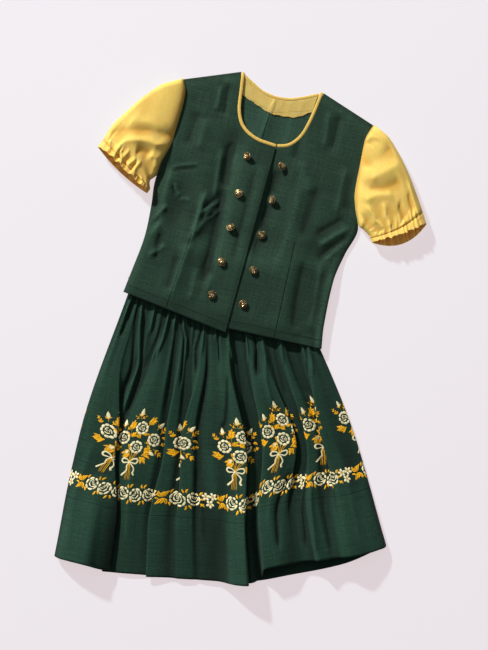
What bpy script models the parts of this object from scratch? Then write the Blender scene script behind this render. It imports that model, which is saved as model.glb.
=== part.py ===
"""A two-piece dirndl, a short-sleeved bodice and a gathered skirt, laid flat on its back.

Metres, +Z up, +Y towards the neck. The dress lies on the XY plane and the origin is the
centre of its outline at the surface it lies on. Every piece of cloth is a closed wall.
"""
import math

import bpy
import numpy as np

# Cloth and seams
wall = 0.0012
seam_gap = 0.0003
layer = wall + seam_gap

# The bodice has its own frame: across to the wearer's left, along to the neck.
bodice_origin = (0.074, 0.359)
bodice_tilt = math.radians(15.5)
lap_edge = 0.0
underlap_edge = -0.040
side_round = 0.014
shoulder_round = 0.018
bodice_crown = 0.0060
shoulder_crown = 0.0035
lap_lift = 0.0026
lap_lift_start = -0.105
lap_lift_end = -0.048

# The bodice lies on the top of the skirt, which lifts its lower end.
skirt_pile = 0.0116
pile_top = -0.165
pile_full = -0.250

# Binding and facing
binding_width = 0.0067
binding_height = 0.0030
binding_clearance = 0.0001
facing_wall = 0.0010

# Skirt
skirt_cloth = 0.910
mid_level = 0.53
rise_level = 0.36
lap_level = 0.22
waist_left = (-0.223, 0.068)
waist_right = (0.121, 0.047)
waistband_height = 0.030
waistband_wall = 0.0016
gather_count = 22
gather_height = 0.0058
gather_swing = 0.0012
gather_step = 0.0100
skirt_back_rows = 9
skirt_back_columns = 17
gather_short = 0.14
gather_long = 0.42
skirt_levels = (0, 0.02, 0.05, 0.10, 0.17, 0.24, 0.29, 0.335, 0.38, 0.45, 0.54, 0.62, 0.67, 0.72, 0.80, 0.90, 1)

# Sleeves
cuff_gathers = 21
columns_per_gather = 3
sleeve_seam_gap = 0.0016
cuff_wave = 0.0018
sleeve_edge_round = 0.012
sleeve_dome = 0.5

# Buttons
button_radius = 0.0086
button_height = 0.0052
shank_radius = 0.0022
shank_height = 0.0026
button_sides = 10

green = (0.018, 0.052, 0.030)
yellow = (0.78, 0.55, 0.13)
brass = (0.33, 0.24, 0.12)


def table(columns, *rows):
    names = columns.split()
    return [dict(zip(names, row)) for row in rows]


# Outline of the bodice, from the hem up to the shoulder tip.
outline_right = table(
    "place   along   across",
    ("hem", -0.3612, -0.2174),
    ("hip", -0.3200, -0.2130),
    ("waist", -0.2400, -0.2060),
    ("ribs", -0.1800, -0.2105),
    ("underarm", -0.1300, -0.2165),
    ("armhole low", -0.0970, -0.2149),
    ("armhole", -0.0450, -0.2046),
    ("armhole high", 0.0225, -0.2034),
    ("yoke", 0.0561, -0.2057),
    ("shoulder tip", 0.0803, -0.2157),
)
outline_left = table(
    "place   along   across",
    ("hem", -0.3658, 0.1928),
    ("hip", -0.3200, 0.1850),
    ("waist", -0.2300, 0.1795),
    ("ribs", -0.1700, 0.1880),
    ("underarm", -0.1200, 0.2000),
    ("armhole low", -0.0739, 0.1824),
    ("armhole", -0.0492, 0.1745),
    ("armhole high", 0.0106, 0.1693),
    ("yoke", 0.0605, 0.1659),
    ("shoulder tip", 0.0927, 0.1742),
)
underarm_right = -0.125
underarm_left = -0.115
centre_rows = 11
neck_rows = 9
bodice_rows = centre_rows + neck_rows + 1
back_neck_steps = 13
facing_rows = 4
front_columns = (0, 0.015, 0.05, 0.13, 0.22, 0.32, 0.42, 0.52, 0.62, 0.72, 0.82, 0.91, 1)
neckline = table(
    "place   across   along",
    ("neck point right", -0.1087, 0.1255),
    ("right side", -0.1032, 0.0907),
    ("right curve", -0.0972, 0.0540),
    ("right curve low", -0.0853, 0.0262),
    ("right scoop", -0.0635, 0.0073),
    ("scoop", -0.0359, -0.0016),
    ("centre front", -0.0021, -0.0035),
    ("left scoop", 0.0208, 0.0043),
    ("left curve low", 0.0382, 0.0216),
    ("left curve", 0.0486, 0.0440),
    ("left side", 0.0567, 0.0851),
    ("neck point left", 0.0614, 0.1281),
)
back_neckline = table(
    "place   across   along",
    ("neck point right", -0.1087, 0.1275),
    ("right", -0.0786, 0.1114),
    ("right low", -0.0532, 0.1004),
    ("centre", -0.0301, 0.0975),
    ("left low", -0.0058, 0.1001),
    ("left", 0.0195, 0.1092),
    ("neck point left", 0.0590, 0.1300),
)
facing_edge = table(
    "place   across   along",
    ("right", -0.0945, 0.0815),
    ("right low", -0.0640, 0.0712),
    ("centre", -0.0250, 0.0605),
    ("left low", 0.0152, 0.0648),
    ("left", 0.0500, 0.0862),
)

# Large soft folds of the bodice fronts: a line, its half width and its height.
bodice_folds = table(
    "place   across  along  to_across  to_along  width  height",
    ("right bust", -0.120, -0.075, -0.105, -0.165, 0.070, 0.0060),
    ("left bust", 0.085, -0.085, 0.075, -0.170, 0.070, 0.0050),
    ("right chest trough", -0.088, -0.010, -0.090, -0.200, 0.022, -0.0045),
    ("right waist fold", -0.105, -0.150, -0.118, -0.330, 0.026, 0.0035),
    ("lap ridge", -0.012, -0.060, -0.010, -0.330, 0.022, 0.0018),
    ("left waist fold", 0.090, -0.170, 0.098, -0.330, 0.030, 0.0035),
    ("right side trough", -0.165, -0.140, -0.155, -0.280, 0.028, -0.0025),
    ("left side trough", 0.140, -0.150, 0.150, -0.290, 0.028, -0.0025),
)

# Creases of the skirt front from its right side seam to its left one, at mid height and at the
# hem: how far along the cloth each lies, where it is across, and how high. Where `across`
# turns back the cloth laps over itself.
creases = table(
    "crease   mid_cloth mid_across mid_up   hem_cloth hem_across hem_up",
    ("side seam", 0.000, -0.3190, 0.0021, 0.000, -0.3680, 0.0021),
    ("side roll", 0.004, -0.3188, 0.0060, 0.010, -0.3695, 0.0110),
    ("side top", 0.012, -0.3115, 0.0100, 0.029, -0.3620, 0.0250),
    ("first panel", 0.030, -0.2940, 0.0132, 0.058, -0.3400, 0.0400),
    ("first ridge", 0.052, -0.2700, 0.0150, 0.098, -0.3060, 0.0485),
    ("first panel falls", 0.062, -0.2560, 0.0152, 0.126, -0.2850, 0.0320),
    ("first edge", 0.069, -0.2465, 0.0150, 0.149, -0.2620, 0.0165),
    ("first edge turn", 0.073, -0.2450, 0.0134, 0.152, -0.2600, 0.0140),
    ("back under first", 0.077, -0.2465, 0.0118, 0.155, -0.2615, 0.0118),
    ("under first", 0.120, -0.2860, 0.0068, 0.172, -0.2740, 0.0068),
    ("under turn", 0.126, -0.2875, 0.0051, 0.176, -0.2755, 0.0051),
    ("forward under first", 0.132, -0.2860, 0.0034, 0.180, -0.2740, 0.0034),
    ("second panel foot", 0.184, -0.2430, 0.0034, 0.200, -0.2560, 0.0034),
    ("second panel rises", 0.198, -0.2310, 0.0095, 0.215, -0.2440, 0.0050),
    ("second panel", 0.222, -0.2080, 0.0130, 0.238, -0.2240, 0.0060),
    ("second panel dips", 0.262, -0.1680, 0.0105, 0.262, -0.2030, 0.0050),
    ("second fold foot", 0.280, -0.1510, 0.0034, 0.284, -0.1860, 0.0034),
    ("second fold under", 0.289, -0.1405, 0.0034, 0.292, -0.1780, 0.0034),
    ("second fold turn", 0.292, -0.1390, 0.0049, 0.296, -0.1765, 0.0049),
    ("second fold back", 0.295, -0.1405, 0.0064, 0.300, -0.1780, 0.0064),
    ("second fold edge", 0.302, -0.1490, 0.0096, 0.308, -0.1860, 0.0084),
    ("second fold over", 0.304, -0.1505, 0.0114, 0.311, -0.1872, 0.0101),
    ("second fold top", 0.307, -0.1490, 0.0134, 0.314, -0.1860, 0.0118),
    ("third panel dips", 0.326, -0.1290, 0.0095, 0.336, -0.1560, 0.0075),
    ("third fold foot", 0.335, -0.1190, 0.0034, 0.350, -0.1400, 0.0050),
    ("third fold under", 0.358, -0.0955, 0.0034, 0.357, -0.1350, 0.0050),
    ("third fold turn", 0.362, -0.0940, 0.0050, 0.361, -0.1320, 0.0053),
    ("third fold back", 0.366, -0.0955, 0.0067, 0.365, -0.1290, 0.0059),
    ("third fold edge", 0.386, -0.1165, 0.0110, 0.370, -0.1260, 0.0078),
    ("third fold over", 0.390, -0.1180, 0.0128, 0.374, -0.1225, 0.0084),
    ("third fold top", 0.394, -0.1165, 0.0146, 0.378, -0.1180, 0.0086),
    ("soft fall", 0.412, -0.0960, 0.0140, 0.398, -0.0960, 0.0074),
    ("soft hollow", 0.424, -0.0840, 0.0060, 0.408, -0.0860, 0.0045),
    ("soft rise", 0.436, -0.0720, 0.0125, 0.418, -0.0760, 0.0062),
    ("centre panel", 0.463, -0.0440, 0.0155, 0.447, -0.0460, 0.0080),
    ("centre ridge", 0.495, -0.0100, 0.0185, 0.497, -0.0060, 0.0420),
    ("centre edge", 0.514, 0.0120, 0.0180, 0.520, 0.0140, 0.0500),
    ("centre edge turn", 0.518, 0.0138, 0.0156, 0.530, 0.0175, 0.0430),
    ("centre back", 0.522, 0.0125, 0.0128, 0.540, 0.0172, 0.0330),
    ("centre under", 0.528, 0.0088, 0.0074, 0.550, 0.0165, 0.0240),
    ("centre under turn", 0.531, 0.0073, 0.0054, 0.556, 0.0165, 0.0185),
    ("centre under foot", 0.534, 0.0088, 0.0036, 0.561, 0.0182, 0.0142),
    ("recess foot", 0.541, 0.0150, 0.0034, 0.566, 0.0215, 0.0125),
    ("recess", 0.556, 0.0290, 0.0034, 0.573, 0.0300, 0.0118),
    ("recess end", 0.572, 0.0440, 0.0034, 0.582, 0.0385, 0.0118),
    ("right fold under", 0.577, 0.0485, 0.0036, 0.588, 0.0430, 0.0132),
    ("right fold turn", 0.580, 0.0500, 0.0053, 0.592, 0.0452, 0.0165),
    ("right fold back", 0.583, 0.0486, 0.0071, 0.598, 0.0458, 0.0215),
    ("right fold edge", 0.592, 0.0450, 0.0112, 0.606, 0.0460, 0.0285),
    ("right fold over", 0.596, 0.0437, 0.0134, 0.613, 0.0464, 0.0350),
    ("right panel", 0.600, 0.0452, 0.0155, 0.620, 0.0490, 0.0405),
    ("right panel middle", 0.634, 0.0770, 0.0165, 0.656, 0.0760, 0.0380),
    ("right panel end", 0.668, 0.1095, 0.0150, 0.686, 0.1020, 0.0260),
    ("right panel turn", 0.671, 0.1112, 0.0134, 0.689, 0.1055, 0.0242),
    ("right panel back", 0.674, 0.1098, 0.0117, 0.692, 0.1085, 0.0228),
    ("right under", 0.682, 0.1050, 0.0070, 0.696, 0.1120, 0.0210),
    ("right under turn", 0.686, 0.1035, 0.0052, 0.699, 0.1150, 0.0199),
    ("right under foot", 0.690, 0.1050, 0.0035, 0.703, 0.1185, 0.0188),
    ("gap foot", 0.697, 0.1110, 0.0034, 0.708, 0.1235, 0.0180),
    ("gap end", 0.714, 0.1275, 0.0034, 0.714, 0.1295, 0.0182),
    ("narrow under", 0.722, 0.1350, 0.0035, 0.719, 0.1340, 0.0190),
    ("narrow turn", 0.725, 0.1365, 0.0051, 0.722, 0.1370, 0.0200),
    ("narrow back", 0.728, 0.1350, 0.0067, 0.726, 0.1400, 0.0212),
    ("narrow edge", 0.735, 0.1320, 0.0106, 0.731, 0.1440, 0.0232),
    ("narrow over", 0.739, 0.1306, 0.0125, 0.737, 0.1490, 0.0262),
    ("narrow panel", 0.744, 0.1320, 0.0142, 0.744, 0.1550, 0.0305),
    ("narrow falls", 0.762, 0.1500, 0.0105, 0.764, 0.1720, 0.0400),
    ("narrow foot", 0.770, 0.1590, 0.0034, 0.776, 0.1830, 0.0408),
    ("side fold under", 0.797, 0.1840, 0.0034, 0.792, 0.1950, 0.0416),
    ("side fold turn", 0.801, 0.1855, 0.0050, 0.798, 0.2000, 0.0422),
    ("side fold back", 0.805, 0.1840, 0.0067, 0.804, 0.2050, 0.0430),
    ("side fold edge", 0.829, 0.1620, 0.0110, 0.816, 0.2150, 0.0450),
    ("side panel edge", 0.833, 0.1605, 0.0127, 0.822, 0.2200, 0.0452),
    ("side panel", 0.837, 0.1620, 0.0145, 0.828, 0.2260, 0.0440),
    ("side panel middle", 0.866, 0.1910, 0.0140, 0.858, 0.2500, 0.0350),
    ("left side top", 0.895, 0.2180, 0.0098, 0.884, 0.2740, 0.0250),
    ("left side roll", 0.905, 0.2260, 0.0060, 0.900, 0.2900, 0.0120),
    ("left side seam", 0.910, 0.2262, 0.0021, 0.910, 0.2920, 0.0021),
)
hem_line = table(
    "place   cloth   along",
    ("left corner", 0.000, -0.4550),
    ("first ridge", 0.098, -0.4710),
    ("first edge", 0.150, -0.4860),
    ("second panel", 0.260, -0.4950),
    ("centre panel", 0.430, -0.5070),
    ("centre edge", 0.515, -0.5120),
    ("recess", 0.565, -0.5110),
    ("right panel", 0.612, -0.4830),
    ("right trough", 0.705, -0.4690),
    ("side ridge", 0.790, -0.4590),
    ("side panel", 0.860, -0.4500),
    ("right corner", 0.910, -0.4370),
)
back_hem_line = table(
    "place   across   along",
    ("left corner", -0.3690, -0.4560),
    ("left", -0.2800, -0.4800),
    ("left of centre", -0.1200, -0.5030),
    ("centre", 0.0100, -0.5100),
    ("right of centre", 0.1100, -0.4950),
    ("right", 0.2100, -0.4740),
    ("right corner", 0.2930, -0.4380),
)

sleeve_right_rings = table(
    "ring  outer_x  outer_y  inner_x  inner_y  top  low  bow",
    ("seam", -0.1124, 0.4940, -0.1680, 0.2970, 0.0095, 0.0006, 0.0120),
    ("cap", -0.1500, 0.4920, -0.1755, 0.2945, 0.0210, 0.0006, 0.0020),
    ("puff", -0.1960, 0.4680, -0.1800, 0.2900, 0.0370, 0.0006, -0.0090),
    ("upper arm", -0.2300, 0.4360, -0.1830, 0.2850, 0.0470, 0.0008, -0.0120),
    ("above elastic", -0.2580, 0.3980, -0.1855, 0.2790, 0.0480, 0.0012, -0.0110),
    ("elastic", -0.2720, 0.3710, -0.1870, 0.2730, 0.0430, 0.0024, -0.0070),
    ("cuff edge", -0.2826, 0.3570, -0.1890, 0.2660, 0.0450, 0.0014, -0.0060),
)
sleeve_left_rings = table(
    "ring  outer_x  outer_y  inner_x  inner_y  top  low  bow",
    ("seam", 0.2666, 0.4020, 0.2360, 0.1980, 0.0095, 0.0006, -0.0150),
    ("cap", 0.2940, 0.3790, 0.2425, 0.1955, 0.0210, 0.0006, -0.0030),
    ("puff", 0.3200, 0.3480, 0.2480, 0.1910, 0.0370, 0.0006, 0.0090),
    ("upper arm", 0.3390, 0.3100, 0.2530, 0.1860, 0.0470, 0.0008, 0.0140),
    ("above elastic", 0.3550, 0.2620, 0.2570, 0.1810, 0.0470, 0.0012, 0.0170),
    ("elastic", 0.3640, 0.2270, 0.2605, 0.1745, 0.0420, 0.0024, 0.0190),
    ("cuff edge", 0.3710, 0.2030, 0.2640, 0.1670, 0.0440, 0.0014, 0.0210),
)
cuff_set_back_right = (-0.0065, -0.0060)
cuff_set_back_left = (0.0060, -0.0180)

buttons = table(
    "across  along  lean  lean_to",
    (-0.0508, -0.0340, 24, 200),
    (-0.0480, -0.1119, 12, 150),
    (-0.0454, -0.1820, 18, 100),
    (-0.0443, -0.2520, 8, 60),
    (-0.0464, -0.3200, 8, 300),
    (0.0183, -0.0368, 14, 30),
    (0.0209, -0.1052, 22, 190),
    (0.0171, -0.1785, 8, 120),
    (0.0202, -0.2509, 6, 250),
    (0.0183, -0.3206, 10, 330),
)


def spline(knots, values, at):
    """A smooth curve through the values that never overshoots them."""
    knots = np.asarray(knots, float)
    values = np.asarray(values, float)
    at = np.clip(np.asarray(at, float), knots[0], knots[-1])
    step = np.diff(knots)
    slope = np.diff(values) / step
    tangent = np.zeros(len(knots))
    tangent[0] = slope[0]
    tangent[-1] = slope[-1]
    for i in range(1, len(knots) - 1):
        if slope[i - 1] * slope[i] > 0:
            near = 2 * step[i] + step[i - 1]
            far = step[i] + 2 * step[i - 1]
            tangent[i] = (near + far) / (near / slope[i - 1] + far / slope[i])
    span = np.clip(np.searchsorted(knots, at, side="right") - 1, 0, len(step) - 1)
    t = (at - knots[span]) / step[span]
    return (
        (2 * t**3 - 3 * t**2 + 1) * values[span]
        + (t**3 - 2 * t**2 + t) * step[span] * tangent[span]
        + (3 * t**2 - 2 * t**3) * values[span + 1]
        + (t**3 - t**2) * step[span] * tangent[span + 1]
    )


def lengths(points):
    steps = np.linalg.norm(np.diff(points, axis=0), axis=1)
    return np.concatenate([[0.0], np.cumsum(steps)])


def trace(points, count):
    """The points of a smooth line through the given ones, evenly spaced."""
    points = np.asarray(points, float)
    knots = lengths(points)
    fine = np.linspace(0, knots[-1], 400)
    dense = np.stack([spline(knots, points[:, k], fine) for k in range(points.shape[1])], 1)
    along = lengths(dense)
    even = np.linspace(0, along[-1], count)
    return np.stack([np.interp(even, along, dense[:, k]) for k in range(points.shape[1])], 1)


def column(rows, name):
    return np.array([row[name] for row in rows])


def smooth(x):
    x = np.clip(x, 0, 1)
    return x * x * (3 - 2 * x)


def quarter_round(distance, radius):
    """Height share of a rounded edge: 0 at the edge, 1 from the radius on."""
    x = np.clip(distance / radius, 0, 1)
    return np.sqrt(1 - (1 - x) ** 2)


def to_world(across, along):
    c = math.cos(bodice_tilt)
    s = math.sin(bodice_tilt)
    x = bodice_origin[0] + across * c + along * s
    y = bodice_origin[1] - across * s + along * c
    return x, y


def patch(bottom, top, left, right):
    """A surface grid between four edge lines, as rows from bottom to top."""
    rows = len(left)
    columns = len(bottom)
    reach = lengths(bottom)
    a = reach / reach[-1]
    b = np.linspace(0, 1, rows)
    grid = np.zeros((rows, columns, 2))
    for j in range(rows):
        straight_left = left[0] * (1 - b[j]) + left[-1] * b[j]
        straight_right = right[0] * (1 - b[j]) + right[-1] * b[j]
        for i in range(columns):
            grid[j, i] = (
                bottom[i] * (1 - b[j])
                + top[i] * b[j]
                + (left[j] - straight_left) * (1 - a[i])
                + (right[j] - straight_right) * a[i]
            )
    return grid


def grid_normals(points, closed=False):
    if closed:
        around = np.roll(points, -1, axis=1) - np.roll(points, 1, axis=1)
    else:
        around = np.gradient(points, axis=1)
    along = np.gradient(points, axis=0)
    normals = np.cross(around, along)
    return normals / np.linalg.norm(normals, axis=2, keepdims=True)


def make_object(name, vertices, faces, colour, roughness=0.9, metallic=0.0):
    mesh = bpy.data.meshes.new(name)
    mesh.from_pydata([tuple(v) for v in vertices], [], faces)
    mesh.validate()
    material = bpy.data.materials.new(name)
    material.use_nodes = True
    shader = material.node_tree.nodes["Principled BSDF"]
    shader.inputs["Base Color"].default_value = (*colour, 1.0)
    shader.inputs["Roughness"].default_value = roughness
    shader.inputs["Metallic"].default_value = metallic
    mesh.materials.append(material)
    piece = bpy.data.objects.new(name, mesh)
    bpy.context.scene.collection.objects.link(piece)
    return piece


def make_sheet(name, points, colour, thickness=wall):
    """A wall of even thickness around a grid of points, rows by columns."""
    rows, columns = points.shape[:2]
    offset = grid_normals(points) * thickness / 2
    vertices = np.concatenate([(points + offset).reshape(-1, 3), (points - offset).reshape(-1, 3)])
    middle = points.reshape(-1, 3)
    below = rows * columns
    faces = []
    for j in range(rows - 1):
        for i in range(columns - 1):
            a = j * columns + i
            b = a + 1
            c = a + columns + 1
            d = a + columns
            if np.linalg.norm(middle[a] - middle[c]) < np.linalg.norm(middle[b] - middle[d]):
                halves = [(a, b, c), (a, c, d)]
            else:
                halves = [(a, b, d), (b, c, d)]
            faces += halves
            faces += [(below + r, below + q, below + p) for p, q, r in halves]
    rim = list(range(columns))
    rim += [j * columns + columns - 1 for j in range(1, rows)]
    rim += [(rows - 1) * columns + i for i in range(columns - 2, -1, -1)]
    rim += [j * columns for j in range(rows - 2, 0, -1)]
    for here, there in zip(rim, rim[1:] + rim[:1]):
        faces.append((here, below + here, below + there, there))
    return make_object(name, vertices, faces, colour)


def make_tube_wall(name, rings, colour, thickness=wall):
    """An open tube of cloth: rings of points from the seam to the cuff."""
    count, around = rings.shape[:2]
    offset = grid_normals(rings, closed=True) * thickness / 2
    vertices = np.concatenate([(rings + offset).reshape(-1, 3), (rings - offset).reshape(-1, 3)])
    inner = count * around
    faces = []
    for j in range(count - 1):
        for i in range(around):
            k = (i + 1) % around
            a = j * around + i
            b = j * around + k
            c = b + around
            d = a + around
            faces.append((a, b, c, d))
            faces.append((inner + d, inner + c, inner + b, inner + a))
    last = (count - 1) * around
    for i in range(around):
        k = (i + 1) % around
        faces.append((i, inner + i, inner + k, k))
        faces.append((last + k, inner + last + k, inner + last + i, last + i))
    return make_object(name, vertices, faces, colour)


def make_cord(name, line, half_width, half_height, colour, sides=8):
    """A flattened round strip along a line of points, with closed ends."""
    count = len(line)
    forward = np.gradient(line, axis=0)
    forward /= np.linalg.norm(forward, axis=1, keepdims=True)
    aside = np.cross(forward, (0, 0, 1))
    aside /= np.linalg.norm(aside, axis=1, keepdims=True)
    upward = np.cross(aside, forward)
    vertices = []
    for p, a, u in zip(line, aside, upward):
        for k in range(sides):
            angle = 2 * math.pi * k / sides
            vertices.append(p + a * half_width * math.cos(angle) + u * half_height * math.sin(angle))
    faces = [tuple(range(sides))]
    for j in range(count - 1):
        for k in range(sides):
            n = (k + 1) % sides
            faces.append((j * sides + n, j * sides + k, (j + 1) * sides + k, (j + 1) * sides + n))
    faces.append(tuple((count - 1) * sides + k for k in range(sides - 1, -1, -1)))
    return make_object(name, vertices, faces, colour)


# Heights of the bodice

def bodice_support(along):
    """How far the skirt underneath lifts the bodice."""
    return skirt_pile * smooth((pile_top - along) / (pile_top - pile_full))


def distance_from_line(across, along, start, end):
    run = np.subtract(end, start)
    run = run / np.linalg.norm(run)
    return abs((across - start[0]) * run[1] - (along - start[1]) * run[0])


def fold_relief(across, along, folds):
    """The sum of soft ridges and troughs, each along its own line."""
    height = np.zeros_like(across)
    for fold in folds:
        run_across = fold["to_across"] - fold["across"]
        run_along = fold["to_along"] - fold["along"]
        square = run_across**2 + run_along**2
        share = ((across - fold["across"]) * run_across + (along - fold["along"]) * run_along) / square
        near = np.clip(share, 0, 1)
        away_across = across - fold["across"] - near * run_across
        away_along = along - fold["along"] - near * run_along
        away = np.sqrt(away_across**2 + away_along**2)
        height = height + fold["height"] * np.exp(-((away / fold["width"]) ** 2))
    return height


def front_height(across, along):
    """Middle of the wall of a bodice front, without the lap."""
    right_side = spline(column(outline_right, "along"), column(outline_right, "across"), along)
    left_side = spline(column(outline_left, "along"), column(outline_left, "across"), along)
    right_open = smooth((along - underarm_right + 0.010) / 0.030)
    left_open = smooth((along - underarm_left + 0.010) / 0.030)
    right_rise = np.maximum(quarter_round(across - right_side, side_round), right_open)
    left_rise = np.maximum(quarter_round(left_side - across, side_round), left_open)
    tip_right = (outline_right[-1]["across"], outline_right[-1]["along"])
    tip_left = (outline_left[-1]["across"], outline_left[-1]["along"])
    neck_right = (neckline[0]["across"], neckline[0]["along"])
    neck_left = (neckline[-1]["across"], neckline[-1]["along"])
    right_shoulder = distance_from_line(across, along, tip_right, neck_right)
    left_shoulder = distance_from_line(across, along, neck_left, tip_left)
    shoulder = np.where(across < -0.02, right_shoulder, left_shoulder)
    rise = right_rise * left_rise * np.sin(np.clip(shoulder / shoulder_round, 0, 1) * math.pi / 2)
    crown = shoulder_crown + (bodice_crown - shoulder_crown) * smooth(shoulder / 0.12)
    crown = crown + fold_relief(across, along, bodice_folds)
    return wall / 2 + layer + bodice_support(along) + crown * rise


def back_height(across, along):
    return wall / 2 + bodice_support(along)


def binding_rest_height(across, along):
    return np.full_like(across, binding_height / 2 + binding_clearance)


def facing_height(across, along):
    return np.full_like(across, wall + seam_gap + facing_wall / 2)


def right_front_height(across, along):
    lift = smooth((across - lap_lift_start) / (lap_lift_end - lap_lift_start))
    return front_height(across, along) + lap_lift * lift


def raise_grid(grid, height):
    across = grid[:, :, 0]
    along = grid[:, :, 1]
    x, y = to_world(across, along)
    return np.stack([x, y, height(across, along)], 2)


def side_line(rows, count):
    return trace([(row["across"], row["along"]) for row in rows], count)


def inset_line(line, distance):
    """The line moved to its left by a distance."""
    forward = np.gradient(line, axis=0)
    forward /= np.linalg.norm(forward, axis=1, keepdims=True)
    return line + np.stack([-forward[:, 1], forward[:, 0]], 1) * distance


def split_line(start, end, shares):
    shares = np.asarray(shares)[:, None]
    return np.asarray(start) * (1 - shares) + np.asarray(end) * shares


def neck_points(rows):
    return [(row["across"], row["along"]) for row in rows]


def neck_edge(rows, moved):
    """A neckline as the panels and the binding share it, moved to its left."""
    return inset_line(trace(neck_points(rows), neck_rows + 1), moved)


def across_rows(left, right, shares):
    """A surface grid of straight rows from one edge line to the other."""
    return np.array([split_line(a, b, shares) for a, b in zip(left, right)])


def make_back():
    right = side_line(outline_right, bodice_rows)
    left = side_line(outline_left, bodice_rows)
    neck = inset_line(trace(neck_points(back_neckline), back_neck_steps), -binding_width - 2 * seam_gap)
    top = np.concatenate([
        split_line(right[-1], neck[0], (0, 0.33, 0.66)),
        neck,
        split_line(neck[-1], left[-1], (0.33, 0.66, 1)),
    ])
    reach = (top[:, 0] - top[0, 0]) / (top[-1, 0] - top[0, 0])
    bottom = split_line(right[0], left[0], reach)
    grid = patch(bottom, top, right, left)
    return make_sheet("bodice_back", raise_grid(grid, back_height), green)


def make_front_right():
    outer = side_line(outline_right, bodice_rows)
    neck = neck_edge(neckline[:7], 0)[::-1]
    centre = split_line((lap_edge, -0.3857), neck[0], np.linspace(0, 1, centre_rows + 1))
    inner = np.concatenate([centre[:-1], neck])
    grid = across_rows(outer, inner, front_columns)
    return make_sheet("bodice_front_right", raise_grid(grid, right_front_height), green)


def make_front_left():
    """The left front: its neck edge starts under the lap, set back from the binding."""
    outer = side_line(outline_left, bodice_rows)
    neck = neck_edge(neckline[6:], 0)
    start = (underlap_edge, -0.017)
    centre = split_line((underlap_edge, -0.3790), start, np.linspace(0, 1, centre_rows))
    inner = np.concatenate([centre, [(-0.018, -0.0150)], neck[1:]])
    grid = across_rows(inner, outer, (1 - np.array(front_columns))[::-1])
    return make_sheet("bodice_front_left", raise_grid(grid, front_height), green)


def lay_line(line, height):
    x, y = to_world(line[:, 0], line[:, 1])
    return np.stack([x, y, height(line[:, 0], line[:, 1])], 1)


def make_bindings():
    middle = binding_width / 2 + 2 * seam_gap
    right = neck_edge(neckline[:7], middle)
    make_cord("neck_binding_right", lay_line(right, right_front_height),
              binding_width / 2, binding_height / 2, yellow)
    left = neck_edge(neckline[6:], middle)
    left[0] = left[0] * 0.8 + left[1] * 0.2
    make_cord("neck_binding_left", lay_line(left, front_height),
              binding_width / 2, binding_height / 2, yellow)


def crease_columns():
    """Columns of the skirt front: all creases, and more between those that lie far apart."""
    at = column(creases, "mid_cloth")
    places = []
    for i in range(len(at) - 1):
        parts = max(1, round((at[i + 1] - at[i]) / gather_step))
        places += [i + k / parts for k in range(parts)]
    return np.array(places + [len(at) - 1])


def crease_value(name, columns):
    """A column of the crease table, smooth along the cloth, at each place in the table."""
    number = np.arange(len(creases))
    cloth = column(creases, name[:3] + "_cloth")
    at = np.interp(columns, number, cloth)
    return spline(cloth, column(creases, name), at)


def gather_wave(cloth, level, free):
    """Height and sideways swing of the gathers, which run out unevenly below the waist."""
    turn = cloth / skirt_cloth * gather_count
    number = np.floor(turn)
    uneven = 0.5 + 0.3 * np.sin(number * 2.4) + 0.2 * np.sin(number * 0.9 + 1.0)
    length = gather_short + (gather_long - gather_short) * uneven * free
    strength = smooth(level / 0.03) * np.exp(-((level / length) ** 2))
    side = np.minimum(cloth, skirt_cloth - cloth) / 0.02
    strength = strength * np.clip(side, 0, 1) * (0.8 + 0.2 * uneven)
    height = gather_height * strength * 0.5 * (1 - np.cos(2 * math.pi * turn))
    swing = gather_swing * strength * np.sin(2 * math.pi * turn)
    return height, swing


def free_cloth(columns):
    """1 where the cloth lies open and 0 near the places where it laps over itself."""
    cloth = column(creases, "mid_cloth")
    turned = [
        (a["mid_cloth"] + b["mid_cloth"]) / 2
        for a, b in zip(creases, creases[1:])
        if b["mid_across"] < a["mid_across"]
    ]
    at = np.interp(columns, np.arange(len(creases)), cloth)
    near = np.min(np.abs(at[:, None] - np.array(turned)[None, :]), axis=1)
    return smooth((near - 0.018) / 0.014)


def skirt_point_rows(columns, levels):
    """The middle of the skirt front's wall, as a grid from the waist to the hem."""
    cloth = np.interp(columns, np.arange(len(creases)), column(creases, "mid_cloth"))
    hem_cloth = np.interp(columns, np.arange(len(creases)), column(creases, "hem_cloth"))
    share = cloth / skirt_cloth
    middle_across = crease_value("mid_across", columns)
    hem_across = crease_value("hem_across", columns)
    middle_up = crease_value("mid_up", columns)
    hem_up = crease_value("hem_up", columns)
    hem_along = spline(column(hem_line, "cloth"), column(hem_line, "along"), hem_cloth)
    waist_along = waist_left[1] + share * (waist_right[1] - waist_left[1])
    first = creases[0]
    last = creases[-1]
    even_middle = first["mid_across"] + share * (last["mid_across"] - first["mid_across"])
    even_hem = first["hem_across"] + share * (last["hem_across"] - first["hem_across"])
    free = free_cloth(columns)
    rows = []
    for level in levels:
        height, swing = gather_wave(cloth, level, free)
        outer_left = spline((0, mid_level, 1), (waist_left[0], first["mid_across"], first["hem_across"]), level)
        outer_right = spline((0, mid_level, 1), (waist_right[0], last["mid_across"], last["hem_across"]), level)
        opened = smooth((level - mid_level) / 0.30)
        shift = (middle_across - even_middle) * smooth((level - lap_level) / (mid_level - lap_level))
        shift = shift + (hem_across - even_hem - shift) * opened
        up = wall / 2 + layer + (middle_up - wall / 2 - layer) * smooth(level / rise_level)
        up = up + (hem_up - up) * smooth((level - 0.60) / 0.40)
        across = outer_left + share * (outer_right - outer_left) + shift + swing
        along = waist_along + (hem_along - waist_along) * level
        rows.append(np.stack([across, along, up + height], 1))
    return np.array(rows)


def make_skirt_front():
    return make_sheet("skirt_front", skirt_point_rows(crease_columns(), skirt_levels)[::-1], green)


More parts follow.
